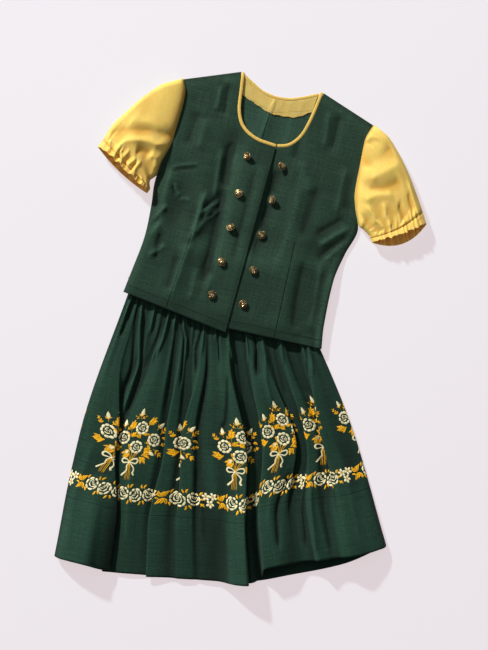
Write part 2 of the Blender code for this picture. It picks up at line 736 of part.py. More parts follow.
def make_skirt_back():
    levels = np.linspace(0, 1, skirt_back_rows)
    edges = skirt_point_rows(np.array([0, len(creases) - 1]), levels)
    hem = side_line(back_hem_line, skirt_back_columns)
    rows = []
    for j, level in enumerate(levels):
        left = edges[j, 0, 0]
        right = edges[j, 1, 0]
        share = (hem[:, 0] - hem[0, 0]) / (hem[-1, 0] - hem[0, 0])
        waist_along = waist_left[1] + share * (waist_right[1] - waist_left[1])
        across = left + share * (right - left)
        along = waist_along + (hem[:, 1] - waist_along) * level
        rows.append(np.stack([across, along, np.full_like(across, wall / 2)], 1))
    return make_sheet("skirt_back", np.array(rows)[::-1], green)


def make_waistband(name, up):
    """A straight band above the gathered edge, at its own height."""
    top = np.array([waist_left, waist_right]) + (0, seam_gap)
    grid = np.zeros((3, 9, 3))
    for j, rise in enumerate((0, waistband_height / 2, waistband_height)):
        grid[j, :, :2] = split_line(top[0], top[1], np.linspace(0, 1, 9)) + (0, rise)
        grid[j, :, 2] = up
    return make_sheet(name, grid, green, waistband_wall)


def sleeve_grid(rings, armhole, toward):
    """Rings of a puff sleeve from the armhole to the cuff; a ring starts at its outer edge."""
    names = ("outer_x", "outer_y", "inner_x", "inner_y", "top", "low", "bow")
    around = cuff_gathers * columns_per_gather
    angle = 2 * math.pi * np.arange(around) / around
    share = 0.5 - 0.5 * np.cos(angle)
    over = np.sin(angle)
    seam_x = np.interp(share, np.linspace(0, 1, len(armhole)), armhole[:, 0])
    seam_y = np.interp(share, np.linspace(0, 1, len(armhole)), armhole[:, 1])
    grid = []
    for at in np.linspace(0, 1, len(rings)):
        ring = {name: spline(np.linspace(0, 1, len(rings)), column(rings, name), at) for name in names}
        outer = np.array((ring["outer_x"], ring["outer_y"]))
        inner = np.array((ring["inner_x"], ring["inner_y"]))
        chord = inner - outer
        length = np.linalg.norm(chord)
        aside = np.array((-chord[1], chord[0])) / length
        bow = ring["bow"] * 4 * share * (1 - share)
        flat = outer + share[:, None] * chord + bow[:, None] * aside
        if at == 0:
            flat = np.stack([seam_x, seam_y], 1)
        body = (ring["top"] + ring["low"]) / 2
        half = (ring["top"] - ring["low"]) / 2
        edge = np.minimum(share, 1 - share) * length
        dome = 1 - sleeve_dome * smooth(at / 0.3) * (1 - np.sin(math.pi * share))
        up = body + half * np.sign(over) * quarter_round(edge, sleeve_edge_round) * dome
        pull = smooth((at - 0.6) / 0.4)
        flat = flat - np.outer(pull * np.clip(over, 0, 1), toward)
        wave = np.cos(cuff_gathers * angle) * cuff_wave * smooth((at - 0.55) / 0.3)
        up = up + wave * np.clip(over, 0, 1)
        flat = flat + np.outer(wave * (1 - np.abs(over)), chord / length)
        grid.append(np.concatenate([flat, up[:, None]], 1))
    return np.array(grid)


def armhole_line(rows, underarm, outward):
    """The armhole from the shoulder tip down to the underarm, moved clear of the panels."""
    line = side_line(rows, 60)[::-1]
    line = line[line[:, 1] >= underarm]
    line = line + (outward, 0)
    x, y = to_world(line[:, 0], line[:, 1])
    return trace(np.stack([x, y], 1), 30)


def make_sleeves():
    armhole = armhole_line(outline_right, underarm_right, -sleeve_seam_gap)
    right = sleeve_grid(sleeve_right_rings, armhole, cuff_set_back_right)
    make_tube_wall("sleeve_right", right, yellow)
    armhole = armhole_line(outline_left, underarm_left, sleeve_seam_gap)
    left = sleeve_grid(sleeve_left_rings, armhole, cuff_set_back_left)
    make_tube_wall("sleeve_left", left[:, ::-1], yellow)


def make_neck_back():
    neck = trace(neck_points(back_neckline), back_neck_steps)
    line = inset_line(neck, -binding_width / 2)[1:-1]
    make_cord("neck_binding_back", lay_line(line, binding_rest_height),
              binding_width / 2, binding_height / 2, yellow)
    top = trace(inset_line(neck, -binding_width - 2 * seam_gap)[1:-1], back_neck_steps)
    bottom = trace(neck_points(facing_edge), back_neck_steps)
    shares = np.linspace(0, 1, facing_rows)
    grid = patch(bottom, top, split_line(bottom[0], top[0], shares), split_line(bottom[-1], top[-1], shares))
    make_sheet("back_neck_facing", raise_grid(grid, facing_height), yellow, facing_wall)


def make_button(name, row, height):
    """A domed shank button, turned about its shank and leaning the way it fell."""
    profile = (
        (0.0, 0.0),
        (shank_radius, 0.0),
        (shank_radius, shank_height),
        (button_radius * 0.9, shank_height + 0.0004),
        (button_radius, shank_height + 0.0014),
        (button_radius * 0.78, shank_height + button_height * 0.72),
        (0.0, shank_height + button_height),
    )
    vertices = [(0, 0, profile[0][1])]
    for radius, up in profile[1:-1]:
        for k in range(button_sides):
            angle = 2 * math.pi * k / button_sides
            vertices.append((radius * math.cos(angle), radius * math.sin(angle), up))
    vertices.append((0, 0, profile[-1][1]))
    last = len(vertices) - 1
    faces = []
    for k in range(button_sides):
        n = (k + 1) % button_sides
        faces.append((0, 1 + n, 1 + k))
        for ring in range(len(profile) - 3):
            a = 1 + ring * button_sides
            b = a + button_sides
            faces.append((a + k, a + n, b + n, b + k))
        top = 1 + (len(profile) - 3) * button_sides
        faces.append((last, top + k, top + n))
    piece = make_object(name, vertices, faces, brass, 0.45, 1.0)
    x, y = to_world(row["across"], row["along"])
    lean = math.radians(row["lean"])
    piece.rotation_euler = (0, lean, math.radians(row["lean_to"]))
    piece.location = (x, y, height + wall / 2 + seam_gap + shank_radius * math.sin(lean))
    return piece


def make_buttons():
    for number, row in enumerate(buttons, 1):
        across = np.array(row["across"])
        along = np.array(row["along"])
        height = right_front_height if row["across"] < lap_edge else front_height
        make_button(f"button_{number:02d}", row, float(height(across, along)))


def recentre():
    """Moves every piece so that the origin is the middle of the dress's box, at the floor."""
    low = np.full(3, np.inf)
    high = np.full(3, -np.inf)
    pieces = list(bpy.context.scene.objects)
    bpy.context.view_layer.update()
    for piece in pieces:
        for vertex in piece.data.vertices:
            place = np.array(piece.matrix_world @ vertex.co)
            low = np.minimum(low, place)
            high = np.maximum(high, place)
    middle = (low + high) / 2
    for piece in pieces:
        piece.location.x -= middle[0]
        piece.location.y -= middle[1]
        piece.location.z -= low[2]


for old in list(bpy.data.objects):
    bpy.data.objects.remove(old)
make_back()
make_front_right()
make_front_left()
make_bindings()
make_neck_back()
make_sleeves()
make_skirt_back()
make_waistband("waistband_back", waistband_wall / 2)
make_waistband("waistband_front", waistband_wall * 1.5 + seam_gap)
make_skirt_front()
make_buttons()
recentre()
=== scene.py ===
import math

import bpy
import numpy as np
from mathutils import Euler, Matrix, Vector


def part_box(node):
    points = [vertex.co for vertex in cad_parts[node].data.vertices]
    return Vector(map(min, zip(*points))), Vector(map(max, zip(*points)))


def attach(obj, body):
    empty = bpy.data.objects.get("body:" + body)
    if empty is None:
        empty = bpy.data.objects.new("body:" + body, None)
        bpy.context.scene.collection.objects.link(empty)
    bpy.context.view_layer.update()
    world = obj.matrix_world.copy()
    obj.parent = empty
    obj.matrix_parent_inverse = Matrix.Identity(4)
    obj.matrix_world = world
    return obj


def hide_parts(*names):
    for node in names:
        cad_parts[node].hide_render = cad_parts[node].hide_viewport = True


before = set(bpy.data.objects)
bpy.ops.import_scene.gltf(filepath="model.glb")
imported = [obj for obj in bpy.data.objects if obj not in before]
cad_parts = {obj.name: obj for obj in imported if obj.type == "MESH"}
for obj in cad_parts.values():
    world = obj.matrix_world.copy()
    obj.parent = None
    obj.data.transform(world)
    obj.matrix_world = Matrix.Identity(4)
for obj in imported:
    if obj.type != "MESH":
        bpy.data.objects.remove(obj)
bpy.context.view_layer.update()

# helpers for curves and grids; tables, creases and seams are in millimetres, the rest in metres

mm = 0.001
noLengths = {"place", "crease", "ring", "lean", "leanTo", "angle", "spin", "pairs"}


def table(columns, *rows):  # gives its lengths in metres
    names = columns.split()
    scale = [1 if name in noLengths else mm for name in names]
    return [{name: value * by for name, value, by in zip(names, row, scale)} for row in rows]


def column(rows, name):
    return np.array([row[name] for row in rows], float)


def placesOf(rows):
    return [(row["across"], row["along"]) for row in rows]


def smooth(x):
    x = np.clip(x, 0, 1)
    return x * x * (3 - 2 * x)


def quarterRound(distance, radius):
    x = np.clip(distance / radius, 0, 1)
    return np.sqrt(1 - (1 - x) ** 2)


def spline(knots, values, at):  # smooth, and never overshoots its values
    knots = np.asarray(knots, float)
    values = np.asarray(values, float)
    at = np.clip(np.asarray(at, float), knots[0], knots[-1])
    step = np.diff(knots)
    slope = np.diff(values) / step
    tangent = np.zeros(len(knots))
    tangent[0], tangent[-1] = slope[0], slope[-1]
    for i in range(1, len(knots) - 1):
        if slope[i - 1] * slope[i] > 0:
            near = 2 * step[i] + step[i - 1]
            far = step[i] + 2 * step[i - 1]
            tangent[i] = (near + far) / (near / slope[i - 1] + far / slope[i])
    span = np.clip(np.searchsorted(knots, at, side="right") - 1, 0, len(step) - 1)
    t = (at - knots[span]) / step[span]
    return (
        (2 * t**3 - 3 * t**2 + 1) * values[span]
        + (t**3 - 2 * t**2 + t) * step[span] * tangent[span]
        + (3 * t**2 - 2 * t**3) * values[span + 1]
        + (t**3 - t**2) * step[span] * tangent[span + 1]
    )


def lengths(points):
    steps = np.linalg.norm(np.diff(points, axis=0), axis=1)
    return np.concatenate([[0.0], np.cumsum(steps)])


def trace(points, count):  # evenly spaced points of a smooth line
    points = np.asarray(points, float)
    knots = lengths(points)
    fine = np.linspace(0, knots[-1], 600)
    dense = np.stack([spline(knots, points[:, k], fine) for k in range(points.shape[1])], 1)
    along = lengths(dense)
    even = np.linspace(0, along[-1], count)
    return np.stack([np.interp(even, along, dense[:, k]) for k in range(points.shape[1])], 1)


def splitLine(start, end, shares):
    shares = np.asarray(shares)[:, None]
    return np.asarray(start) * (1 - shares) + np.asarray(end) * shares


def unit(vectors):
    return vectors / np.maximum(np.linalg.norm(vectors, axis=-1, keepdims=True), 1e-12)


def leftOf(line):  # the direction to the left of a flat line at each of its points
    forward = unit(np.gradient(line, axis=0))
    return np.stack([-forward[:, 1], forward[:, 0]], 1)


def insetLine(line, distance):
    return line + leftOf(line) * distance


def acrossRows(left, right, shares):
    return np.array([splitLine(a, b, shares) for a, b in zip(left, right)])


def gridNormals(points, closed=False):
    if closed:
        around = np.roll(points, -1, axis=1) - np.roll(points, 1, axis=1)
    else:
        around = np.gradient(points, axis=1)
    return unit(np.cross(around, np.gradient(points, axis=0)))


# the dress was centred on its box, so the first drawing's frame is moved by this much
waistCorner = (-0.223, 0.047)
waistSeamGap = 0.0003
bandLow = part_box("waistband_front")[0]
shift = np.array([bandLow.x - waistCorner[0], bandLow.y - waistCorner[1] - waistSeamGap, 0.0])

# materials


def fill(tree, node, inputs):
    # sets a node's inputs, or links those that are given as another node's output
    for name, value in inputs.items():
        if isinstance(value, bpy.types.NodeSocket):
            tree.links.new(value, node.inputs[name])
        else:
            node.inputs[name].default_value = value


def addNode(tree, kind, inputs=None, **settings):
    node = tree.nodes.new(kind)
    for name, value in settings.items():
        setattr(node, name, value)
    fill(tree, node, inputs or {})
    return node


def mathNode(tree, operation, *values):
    return addNode(tree, "ShaderNodeMath", dict(enumerate(values)), operation=operation).outputs[0]


def vectorNode(tree, operation, inputs, output=0):
    return addNode(tree, "ShaderNodeVectorMath", inputs, operation=operation).outputs[output]


def noiseNode(tree, place, scale, detail=3.0, **others):
    inputs = {0: place, "Scale": scale, "Detail": detail, **others}
    return addNode(tree, "ShaderNodeTexNoise", inputs).outputs[0]


def aroundZero(tree, value, middle=0.5):
    return mathNode(tree, "SUBTRACT", value, middle)


# the tone attribute holds painted fold shading on the cloth pieces and each pad's own thread tone on the
# embroidery
def pieceTone(tree, name="tone"):
    return addNode(tree, "ShaderNodeAttribute", attribute_name=name).outputs["Fac"]


def objectPlace(tree):
    return addNode(tree, "ShaderNodeTexCoord").outputs["Object"]


def plainColour(tree, colour):
    node = addNode(tree, "ShaderNodeRGB")
    node.outputs[0].default_value = (*colour, 1)
    return node.outputs[0]


def shade(tree, colour, tone, amount):
    # a colour made lighter or darker by a tone around zero
    return vectorNode(tree, "SCALE", {0: colour, "Scale": mathNode(tree, "MULTIPLY_ADD", tone, amount, 1.0)})


def newMaterial(name):
    material = bpy.data.materials.new(name)
    material.use_nodes = True
    return material, material.node_tree, material.node_tree.nodes["Principled BSDF"]


def newGroup(name, inputs, outputs):
    group = bpy.data.node_groups.new(name, "ShaderNodeTree")
    for label, (kind, value) in inputs.items():
        socket = group.interface.new_socket(label, in_out="INPUT", socket_type="NodeSocket" + kind)
        if value is not None:
            socket.default_value = value
    for label in outputs:
        group.interface.new_socket(label, in_out="OUTPUT", socket_type="NodeSocketFloat")
    return group, group.nodes.new("NodeGroupInput").outputs, group.nodes.new("NodeGroupOutput")


def makeWeaveGroup():
    # plain weave: threads cross over and under, and some are thicker along part of their length
    group, entry, leave = newGroup("plainWeave", {
        "Cloth": ("Vector", None), "Pitch": ("Float", 0.0006), "Slub": ("Float", 1.0),
        "Warp": ("Float", 0.35),
    }, ("Height", "Tone"))
    cloth = entry["Cloth"]
    split = addNode(group, "ShaderNodeSeparateXYZ", {0: cloth}).outputs
    turn = mathNode(group, "DIVIDE", math.pi, entry["Pitch"])
    warp, weft = (mathNode(group, "SINE", mathNode(group, "MULTIPLY", split[k], turn)) for k in (0, 1))
    side = mathNode(group, "GREATER_THAN", mathNode(group, "MULTIPLY", warp, weft), 0.0)
    along, across = (mathNode(group, "ABSOLUTE", wave) for wave in (weft, warp))
    thread = addNode(group, "ShaderNodeMix", {0: side, 2: along, 3: across}, data_type="FLOAT").outputs[0]
    streaks = []
    for scale, detail in (((20.0, 520.0, 1.0), 2.0), ((520.0, 14.0, 1.0), 2.0), ((3.5, 210.0, 1.0), 4.0)):
        place = addNode(group, "ShaderNodeMapping", {0: cloth, "Scale": scale}).outputs[0]
        streaks.append(aroundZero(group, noiseNode(group, place, 1.0, detail)))
    weftSlubs, warpSlubs, bands = streaks
    mottle = aroundZero(group, noiseNode(group, cloth, 230.0))
    tone = mathNode(group, "MULTIPLY_ADD", warpSlubs, entry["Warp"], weftSlubs)
    tone = mathNode(group, "MULTIPLY_ADD", bands, 0.30, tone)
    tone = mathNode(group, "MULTIPLY_ADD", mottle, 0.9, tone)
    tone = mathNode(group, "MULTIPLY", tone, entry["Slub"])
    fill(group, leave, {"Height": mathNode(group, "MULTIPLY_ADD", tone, 1.2, thread), "Tone": tone})
    return group


def makeWearGroup():
    # slow patches of lighter and darker cloth, as dye and handling leave them
    inputs = {"Place": ("Vector", None), "Size": ("Float", 9.0)}
    group, entry, leave = newGroup("dyePatches", inputs, ("Tone",))
    noise = noiseNode(group, entry["Place"], entry["Size"], Roughness=0.6)
    fill(group, leave, {"Tone": aroundZero(group, noise)})
    return group


def makeSeamGroup():
    # how near a point of the cloth is to a straight seam or pressed crease
    group, entry, leave = newGroup("seamLine", {
        "Cloth": ("Vector", None), "Start": ("Vector", (0.0, 0.0, 0.0)), "Run": ("Vector", (0.0, 1.0, 0.0)),
        "Width": ("Float", 0.001),
    }, ("Mask",))
    run = entry["Run"]
    place = vectorNode(group, "SUBTRACT", {0: entry["Cloth"], 1: entry["Start"]})
    reach = vectorNode(group, "DOT_PRODUCT", {0: place, 1: run}, "Value")
    square = vectorNode(group, "DOT_PRODUCT", {0: run, 1: run}, "Value")
    share = addNode(group, "ShaderNodeClamp", {0: mathNode(group, "DIVIDE", reach, square)}).outputs[0]
    foot = vectorNode(group, "SCALE", {0: run, "Scale": share})
    away = vectorNode(group, "DISTANCE", {0: place, 1: foot}, "Value")
    mask = addNode(group, "ShaderNodeMapRange", {0: away, 2: entry["Width"], 3: 1.0, 4: 0.0},
                   interpolation_type="SMOOTHSTEP")
    fill(group, leave, {"Mask": mask.outputs[0]})
    return group


weaveGroup = makeWeaveGroup()
wearGroup = makeWearGroup()
seamGroup = makeSeamGroup()


def clothMaterial(name, look, seams=()):
    # woven cloth with painted shade in its valleys and painted light on its ridges, and the seams pressed
    # into it by their two ends, width and depth
    material, tree, shader = newMaterial(name)
    cloth = addNode(tree, "ShaderNodeUVMap", uv_map="cloth").outputs[0]
    weave = addNode(tree, "ShaderNodeGroup", {
        "Cloth": cloth, "Pitch": look["pitch"], "Slub": look["slub"], "Warp": look.get("warp", 0.35),
    }, node_tree=weaveGroup).outputs
    patches = addNode(tree, "ShaderNodeGroup", {"Place": objectPlace(tree), "Size": look["patchSize"]},
                      node_tree=wearGroup).outputs["Tone"]
    # painted fold shading: darker low places and lighter high places of the cloth
    folds = pieceTone(tree)
    colour = plainColour(tree, look["colour"])
    for tone, amount in ((weave["Tone"], "slubTone"), (patches, "patchTone"),
                         (aroundZero(tree, weave["Height"], 0.7), "threadTone"), (folds, "paintedFoldShading")):
        colour = shade(tree, colour, tone, look[amount])
    if "paintedShadeColour" in look:  # painted shade: the cloth's valleys are mixed towards a warmer, deeper colour, standing in for light passing through thin cloth
        paintedShadeShare = addNode(tree, "ShaderNodeClamp", {0: mathNode(tree, "MULTIPLY", folds, -0.7)}).outputs[0]
        colour = addNode(tree, "ShaderNodeMix", {0: paintedShadeShare, 6: colour, 7: (*look["paintedShadeColour"], 1)},
                         data_type="RGBA").outputs[2]
    bump = {"Strength": look["bump"], "Distance": 0.0002, "Height": weave["Height"]}
    normal = addNode(tree, "ShaderNodeBump", bump).outputs[0]
    pressed = None
    for start, end, width, depth in seams:
        start, end = np.array(start) * mm, np.array(end) * mm
        seam = addNode(tree, "ShaderNodeGroup", {
            "Cloth": cloth, "Start": (*start, 0), "Run": (*(end - start), 0), "Width": width * 2 * mm,
        }, node_tree=seamGroup)
        groove = mathNode(tree, "MULTIPLY", seam.outputs["Mask"], depth)
        pressed = groove if pressed is None else mathNode(tree, "MAXIMUM", pressed, groove)
    if pressed is not None:
        colour = shade(tree, colour, pressed, -0.6)
        groove = {"Strength": 0.9, "Distance": 0.0009, "Height": pressed, "Normal": normal}
        normal = addNode(tree, "ShaderNodeBump", groove, invert=True).outputs[0]
    fill(tree, shader, {
        "Base Color": colour, "Normal": normal,
        "Roughness": mathNode(tree, "MULTIPLY_ADD", weave["Tone"], -0.25, look["rough"]),
        "Sheen Weight": look["sheen"], "Sheen Roughness": 0.5, "Sheen Tint": (*look["sheenTint"], 1),
        "Specular IOR Level": look["gloss"], "Subsurface Weight": look.get("thin", 0.0),
        "Subsurface Radius": (0.0014, 0.0006, 0.00015), "Subsurface Scale": 1.0,
    })
    return material


# in each look the fold tone darkens the cloth's valleys and lightens its ridges as painted shade and painted
# light, and the cotton's deep colour is the warm painted shade of its valleys
linenLook = {
    "colour": (0.0146, 0.0405, 0.0242), "pitch": 0.00055, "slub": 1.0, "slubTone": 0.50,
    "warp": 0.9, "patchSize": 6.0, "patchTone": 0.30, "threadTone": 0.35, "rough": 0.82,
    "sheen": 0.06, "sheenTint": (0.55, 0.80, 0.68), "gloss": 0.22, "bump": 0.55, "paintedFoldShading": 0.50,
}
backLook = {**linenLook, "colour": (0.0230, 0.0620, 0.0400)}
skirtLook = {**linenLook, "colour": (0.0086, 0.0330, 0.0200), "slubTone": 0.52, "warp": 0.6}
cottonLook = {
    "colour": (0.80, 0.545, 0.130), "paintedShadeColour": (0.74, 0.40, 0.050), "thin": 0.5, "pitch": 0.00032,
    "slub": 0.5, "slubTone": 0.22, "patchSize": 7.0, "patchTone": 0.16, "threadTone": 0.12, "rough": 0.78,
    "sheen": 0.12, "sheenTint": (1.0, 0.92, 0.70), "gloss": 0.25, "bump": 0.35, "paintedFoldShading": 0.14,
}
facingLook = {**cottonLook, "colour": (0.62, 0.46, 0.135), "paintedFoldShading": 0.05}
bindingCotton = clothMaterial("bindingCotton", {**cottonLook, "colour": (0.68, 0.47, 0.11)})


def threadMaterial(name, colour, slant, rough, toneSpread, pitch=0.0004):
    # satin stitch: fine threads side by side across each petal or leaf
    material, tree, shader = newMaterial(name)
    stitch = addNode(tree, "ShaderNodeUVMap", uv_map="stitch").outputs[0]
    split = addNode(tree, "ShaderNodeSeparateXYZ", {0: stitch}).outputs
    turn = mathNode(tree, "MULTIPLY", mathNode(tree, "MULTIPLY_ADD", split[1], slant, split[0]),
                    2 * math.pi / pitch)
    thread = mathNode(tree, "MULTIPLY_ADD", mathNode(tree, "SINE", turn), 0.5, 0.5)
    noise = noiseNode(tree, objectPlace(tree), 180.0)
    colour = shade(tree, plainColour(tree, colour), pieceTone(tree), toneSpread)
    colour = shade(tree, colour, aroundZero(tree, thread, 0.6), 0.28)
    colour = shade(tree, colour, aroundZero(tree, noise), 0.35)
    bump = {"Strength": 0.6, "Distance": 0.00015, "Height": thread}
    fill(tree, shader, {
        "Base Color": colour, "Normal": addNode(tree, "ShaderNodeBump", bump).outputs[0],
        "Roughness": mathNode(tree, "MULTIPLY_ADD", noise, 0.2, rough - 0.1),
        "Specular IOR Level": 0.25,
    })
    return material


creamThread = threadMaterial("creamThread", (0.93, 0.84, 0.50), 0.35, 0.55, 0.26)
orangeThread = threadMaterial("orangeThread", (0.96, 0.48, 0.008), 0.6, 0.5, 0.40)
greenThread = threadMaterial("greenThread", (0.022, 0.058, 0.040), 0.6, 0.6, 0.3)
yellowThread = threadMaterial("yellowThread", (0.60, 0.36, 0.08), 0.6, 0.6, 0.3)

# meshes


def newPiece(name, vertices, faces, material, uv, uvName="cloth", tone=None):
    mesh = bpy.data.meshes.new(name)
    mesh.from_pydata((np.asarray(vertices, np.float64) + shift).tolist(), [], faces)
    corners = np.zeros(len(mesh.loops), np.int32)
    mesh.loops.foreach_get("vertex_index", corners)
    layer = mesh.uv_layers.new(name=uvName)
    layer.data.foreach_set("uv", np.asarray(uv, np.float32)[corners].ravel())
    if tone is not None:
        level = mesh.attributes.new("tone", "FLOAT", "POINT")
        level.data.foreach_set("value", np.asarray(tone, np.float32))
    mesh.materials.append(material)
    mesh.shade_smooth()
    piece = bpy.data.objects.new(name, mesh)
    bpy.context.scene.collection.objects.link(piece)
    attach(piece, "root")
    return piece


def triangles(piece):
    return sum(len(face.vertices) - 2 for face in piece.data.polygons)


def gridFaces(rows, columns, closed=False, offset=0, flip=False):
    j, i = np.meshgrid(np.arange(rows - 1), np.arange(columns if closed else columns - 1), indexing="ij")
    a = offset + j * columns + i
    b = offset + j * columns + (i + 1) % columns
    c, d = b + columns, a + columns
    return np.stack([a, d, c, b] if flip else [a, b, c, d], -1).reshape(-1, 4).tolist()


fullPaintedShading = 0.0016  # cloth this far above the cloth around it gets nearly the full painted light, and this far below it nearly the full painted shade


def paintedFoldShading(points, closed, reach):
    # how far each place stands above or below the cloth around it, from -1 to 1: painted shade for the low
    # places, painted light for the high ones
    height = points[:, :, 2]
    around = height
    for axis in (0, 1, 0, 1):
        pad = [(0, 0), (0, 0)]
        pad[axis] = (reach, reach)
        wide = np.pad(around, pad, mode="wrap" if closed and axis == 1 else "edge")
        around = sum(np.roll(wide, -k, axis) for k in range(2 * reach + 1)) / (2 * reach + 1)
        around = around[: height.shape[0], : height.shape[1]]
    return np.tanh((height - around) / fullPaintedShading)


def clothShell(name, points, uv, material, thickness, closed=False, reach=5):
    # a thin closed wall around a grid of points, rows by columns
    rows, columns = points.shape[:2]
    offset = gridNormals(points, closed) * thickness / 2
    count = rows * columns
    vertices = np.concatenate([(points + offset).reshape(-1, 3), (points - offset).reshape(-1, 3)])
    faces = gridFaces(rows, columns, closed) + gridFaces(rows, columns, closed, count, True)
    number = np.arange(count).reshape(rows, columns)
    if closed:
        rims = (number[0], number[-1, ::-1])
    else:
        rims = (np.concatenate([number[0], number[1:, -1], number[-1, -2::-1], number[-2:0:-1, 0]]),)
    for rim in rims:
        there = np.roll(rim, -1)
        faces += np.stack([rim, rim + count, there + count, there], 1).tolist()
    cloth = np.asarray(uv).reshape(-1, 2)
    # painted shade and painted light of each place, kept in its tone attribute
    tone = paintedFoldShading(points, closed, reach).ravel()
    return newPiece(name, vertices, faces, material, np.concatenate([cloth, cloth]),
                    tone=np.concatenate([tone, tone]))


cord = {"pucker": 0.0042, "puckerFade": 0.031, "end": 0.0012, "tip": 0.0002}


def cordMesh(line, halfWidth, halfHeight, sides=14, pucker=0.0):
    # a round cord with soft ends and small puckers along it
    forward = unit(np.gradient(line, axis=0))
    aside = unit(np.cross(forward, (0, 0, 1)))
    upward = np.cross(aside, forward)
    angle = 2 * math.pi * np.arange(sides) / sides
    along = lengths(line)
    swell = 1 + pucker * np.sin(along / cord["pucker"] * math.pi) * np.sin(along / cord["puckerFade"])
    ends = quarterRound(np.minimum(along, along[-1] - along) + cord["tip"], cord["end"])
    ring = (
        aside[:, None] * (halfWidth * np.cos(angle))[None, :, None]
        + upward[:, None] * (halfHeight * np.sin(angle))[None, :, None]
    )
    vertices = (line[:, None] + ring * (swell * ends)[:, None, None]).reshape(-1, 3)
    faces = [tuple(range(sides))] + gridFaces(len(line), sides, True, 0, True)
    faces.append(tuple(range(len(vertices) - 1, len(vertices) - sides - 1, -1)))
    girth = np.linspace(0, 2 * (halfWidth + halfHeight), sides)
    return vertices, faces, np.stack(np.broadcast_arrays(along[:, None], girth[None]), -1).reshape(-1, 2)


def makeCord(name, line, halfWidth, halfHeight, **shape):
    vertices, faces, uv = cordMesh(line, halfWidth, halfHeight, **shape)
    return newPiece(name, vertices, faces, bindingCotton, uv)


creaseEnd = 0.22  # the share of a crease over which each end fades out


def creaseRelief(a, b, rows, power=1.4, fades=True):
    # ridges and troughs by height, width and the places each runs through
    height = np.zeros_like(a)
    for rise, width, *line in rows:
        line = np.array(line) * mm
        nearest = np.full_like(a, np.inf)
        along = np.zeros_like(a)
        for k, (start, run) in enumerate(zip(line[:-1], np.diff(line, axis=0))):
            share = np.clip(((a - start[0]) * run[0] + (b - start[1]) * run[1]) / (run @ run), 0, 1)
            away = np.hypot(a - start[0] - share * run[0], b - start[1] - share * run[1])
            along = np.where(away < nearest, (k + share) / (len(line) - 1), along)
            nearest = np.minimum(nearest, away)
        ends = smooth(along / creaseEnd + 0.1) * smooth((1 - along) / creaseEnd + 0.1) if fades else 1
        height = height + rise * mm * ends * np.exp(-((nearest / (width * mm)) ** power))
    return height


print("materials and helpers ready")

# the bodice: across to the wearer's left, along to the neck

bodice = {
    "origin": (0.074, 0.359), "tilt": math.radians(15.5),
    "wall": 0.0012, "gap": 0.0003, "shell": 0.0009, "lapEdge": 0.0, "underlapEdge": -0.040,
    "sideRound": 0.014, "shoulderRound": 0.018, "betweenShoulders": -0.02,
    "crown": 0.0060, "shoulderCrown": 0.0035, "crownReach": 0.12,
    "lapLoose": 0.0040, "lapLooseAt": -0.125, "lapLooseReach": 0.085,
    "lapLift": 0.0026, "lapLiftStart": -0.105, "lapLiftEnd": -0.048,
    "hemDrop": 0.0030, "hemDropAt": -0.385, "hemDropReach": 0.05, "hemTurn": 0.016,
    "pile": 0.0116, "pileTop": -0.165, "pileFull": -0.250,
    "creaseRise": 1.60, "creaseEdge": 0.03, "flatAtButton": 0.004, "flatFade": 0.012,
    "underarmRight": -0.125, "underarmLeft": -0.115, "openBelow": 0.010, "openOver": 0.030,
    "backCreaseTop": 0.0026,
}
layer = bodice["wall"] + bodice["gap"]
tiltCos, tiltSin = math.cos(bodice["tilt"]), math.sin(bodice["tilt"])
outlineRight = table(
    "place along across",
    ("hem", -361.2, -217.4),
    ("hip", -320, -213),
    ("waist", -240, -206),
    ("ribs", -180, -210.5),
    ("underarm", -130, -216.5),
    ("armhole low", -97, -214.9),
    ("armhole", -45, -204.6),
    ("armhole high", 22.5, -203.4),
    ("yoke", 56.1, -205.7),
    ("shoulder tip", 80.3, -215.7),
)

outlineLeft = table(
    "place along across",
    ("hem", -365.8, 192.8),
    ("hip", -320, 185),
    ("waist", -230, 179.5),
    ("ribs", -170, 188),
    ("underarm", -120, 200),
    ("armhole low", -73.9, 182.4),
    ("armhole", -49.2, 174.5),
    ("armhole high", 10.6, 169.3),
    ("yoke", 60.5, 165.9),
    ("shoulder tip", 92.7, 174.2),
)

neckline = table(
    "place across along",
    ("neck point right", -108.7, 125.5),
    ("right side", -103.2, 90.7),
    ("right curve", -97.2, 54),
    ("right curve low", -85.3, 26.2),
    ("right scoop", -63.5, 7.3),
    ("scoop", -35.9, -1.6),
    ("centre front", -2.1, -3.5),
    ("left scoop", 20.8, 4.3),
    ("left curve low", 38.2, 21.6),
    ("left curve", 48.6, 44),
    ("left side", 56.7, 85.1),
    ("neck point left", 61.4, 128.1),
)

backNeckline = table(
    "place across along",
    ("neck point right", -108.7, 127.5),
    ("right", -78.6, 111.4),
    ("right low", -53.2, 100.4),
    ("centre", -30.1, 97.5),
    ("left low", -5.8, 100.1),
    ("left", 19.5, 109.2),
    ("neck point left", 59, 130),
)

facingEdge = table(
    "place across along",
    ("right", -94.5, 81.5),
    ("right low", -64, 71.2),
    ("centre", -25, 60.5),
    ("left low", 15.2, 64.8),
    ("left", 50, 86.2),
)

buttons = table(
    "across along lean leanTo",
    (-50.8, -34, 36, 200),
    (-48, -111.9, 12, 150),
    (-45.4, -182, 32, 100),
    (-44.3, -252, 8, 60),
    (-46.4, -320, 8, 300),
    (18.3, -36.8, 33, 20),
    (20.9, -105.2, 38, 185),
    (17.1, -178.5, 8, 290),
    (20.2, -250.9, 6, 250),
    (18.3, -320.6, 8, 275),
)

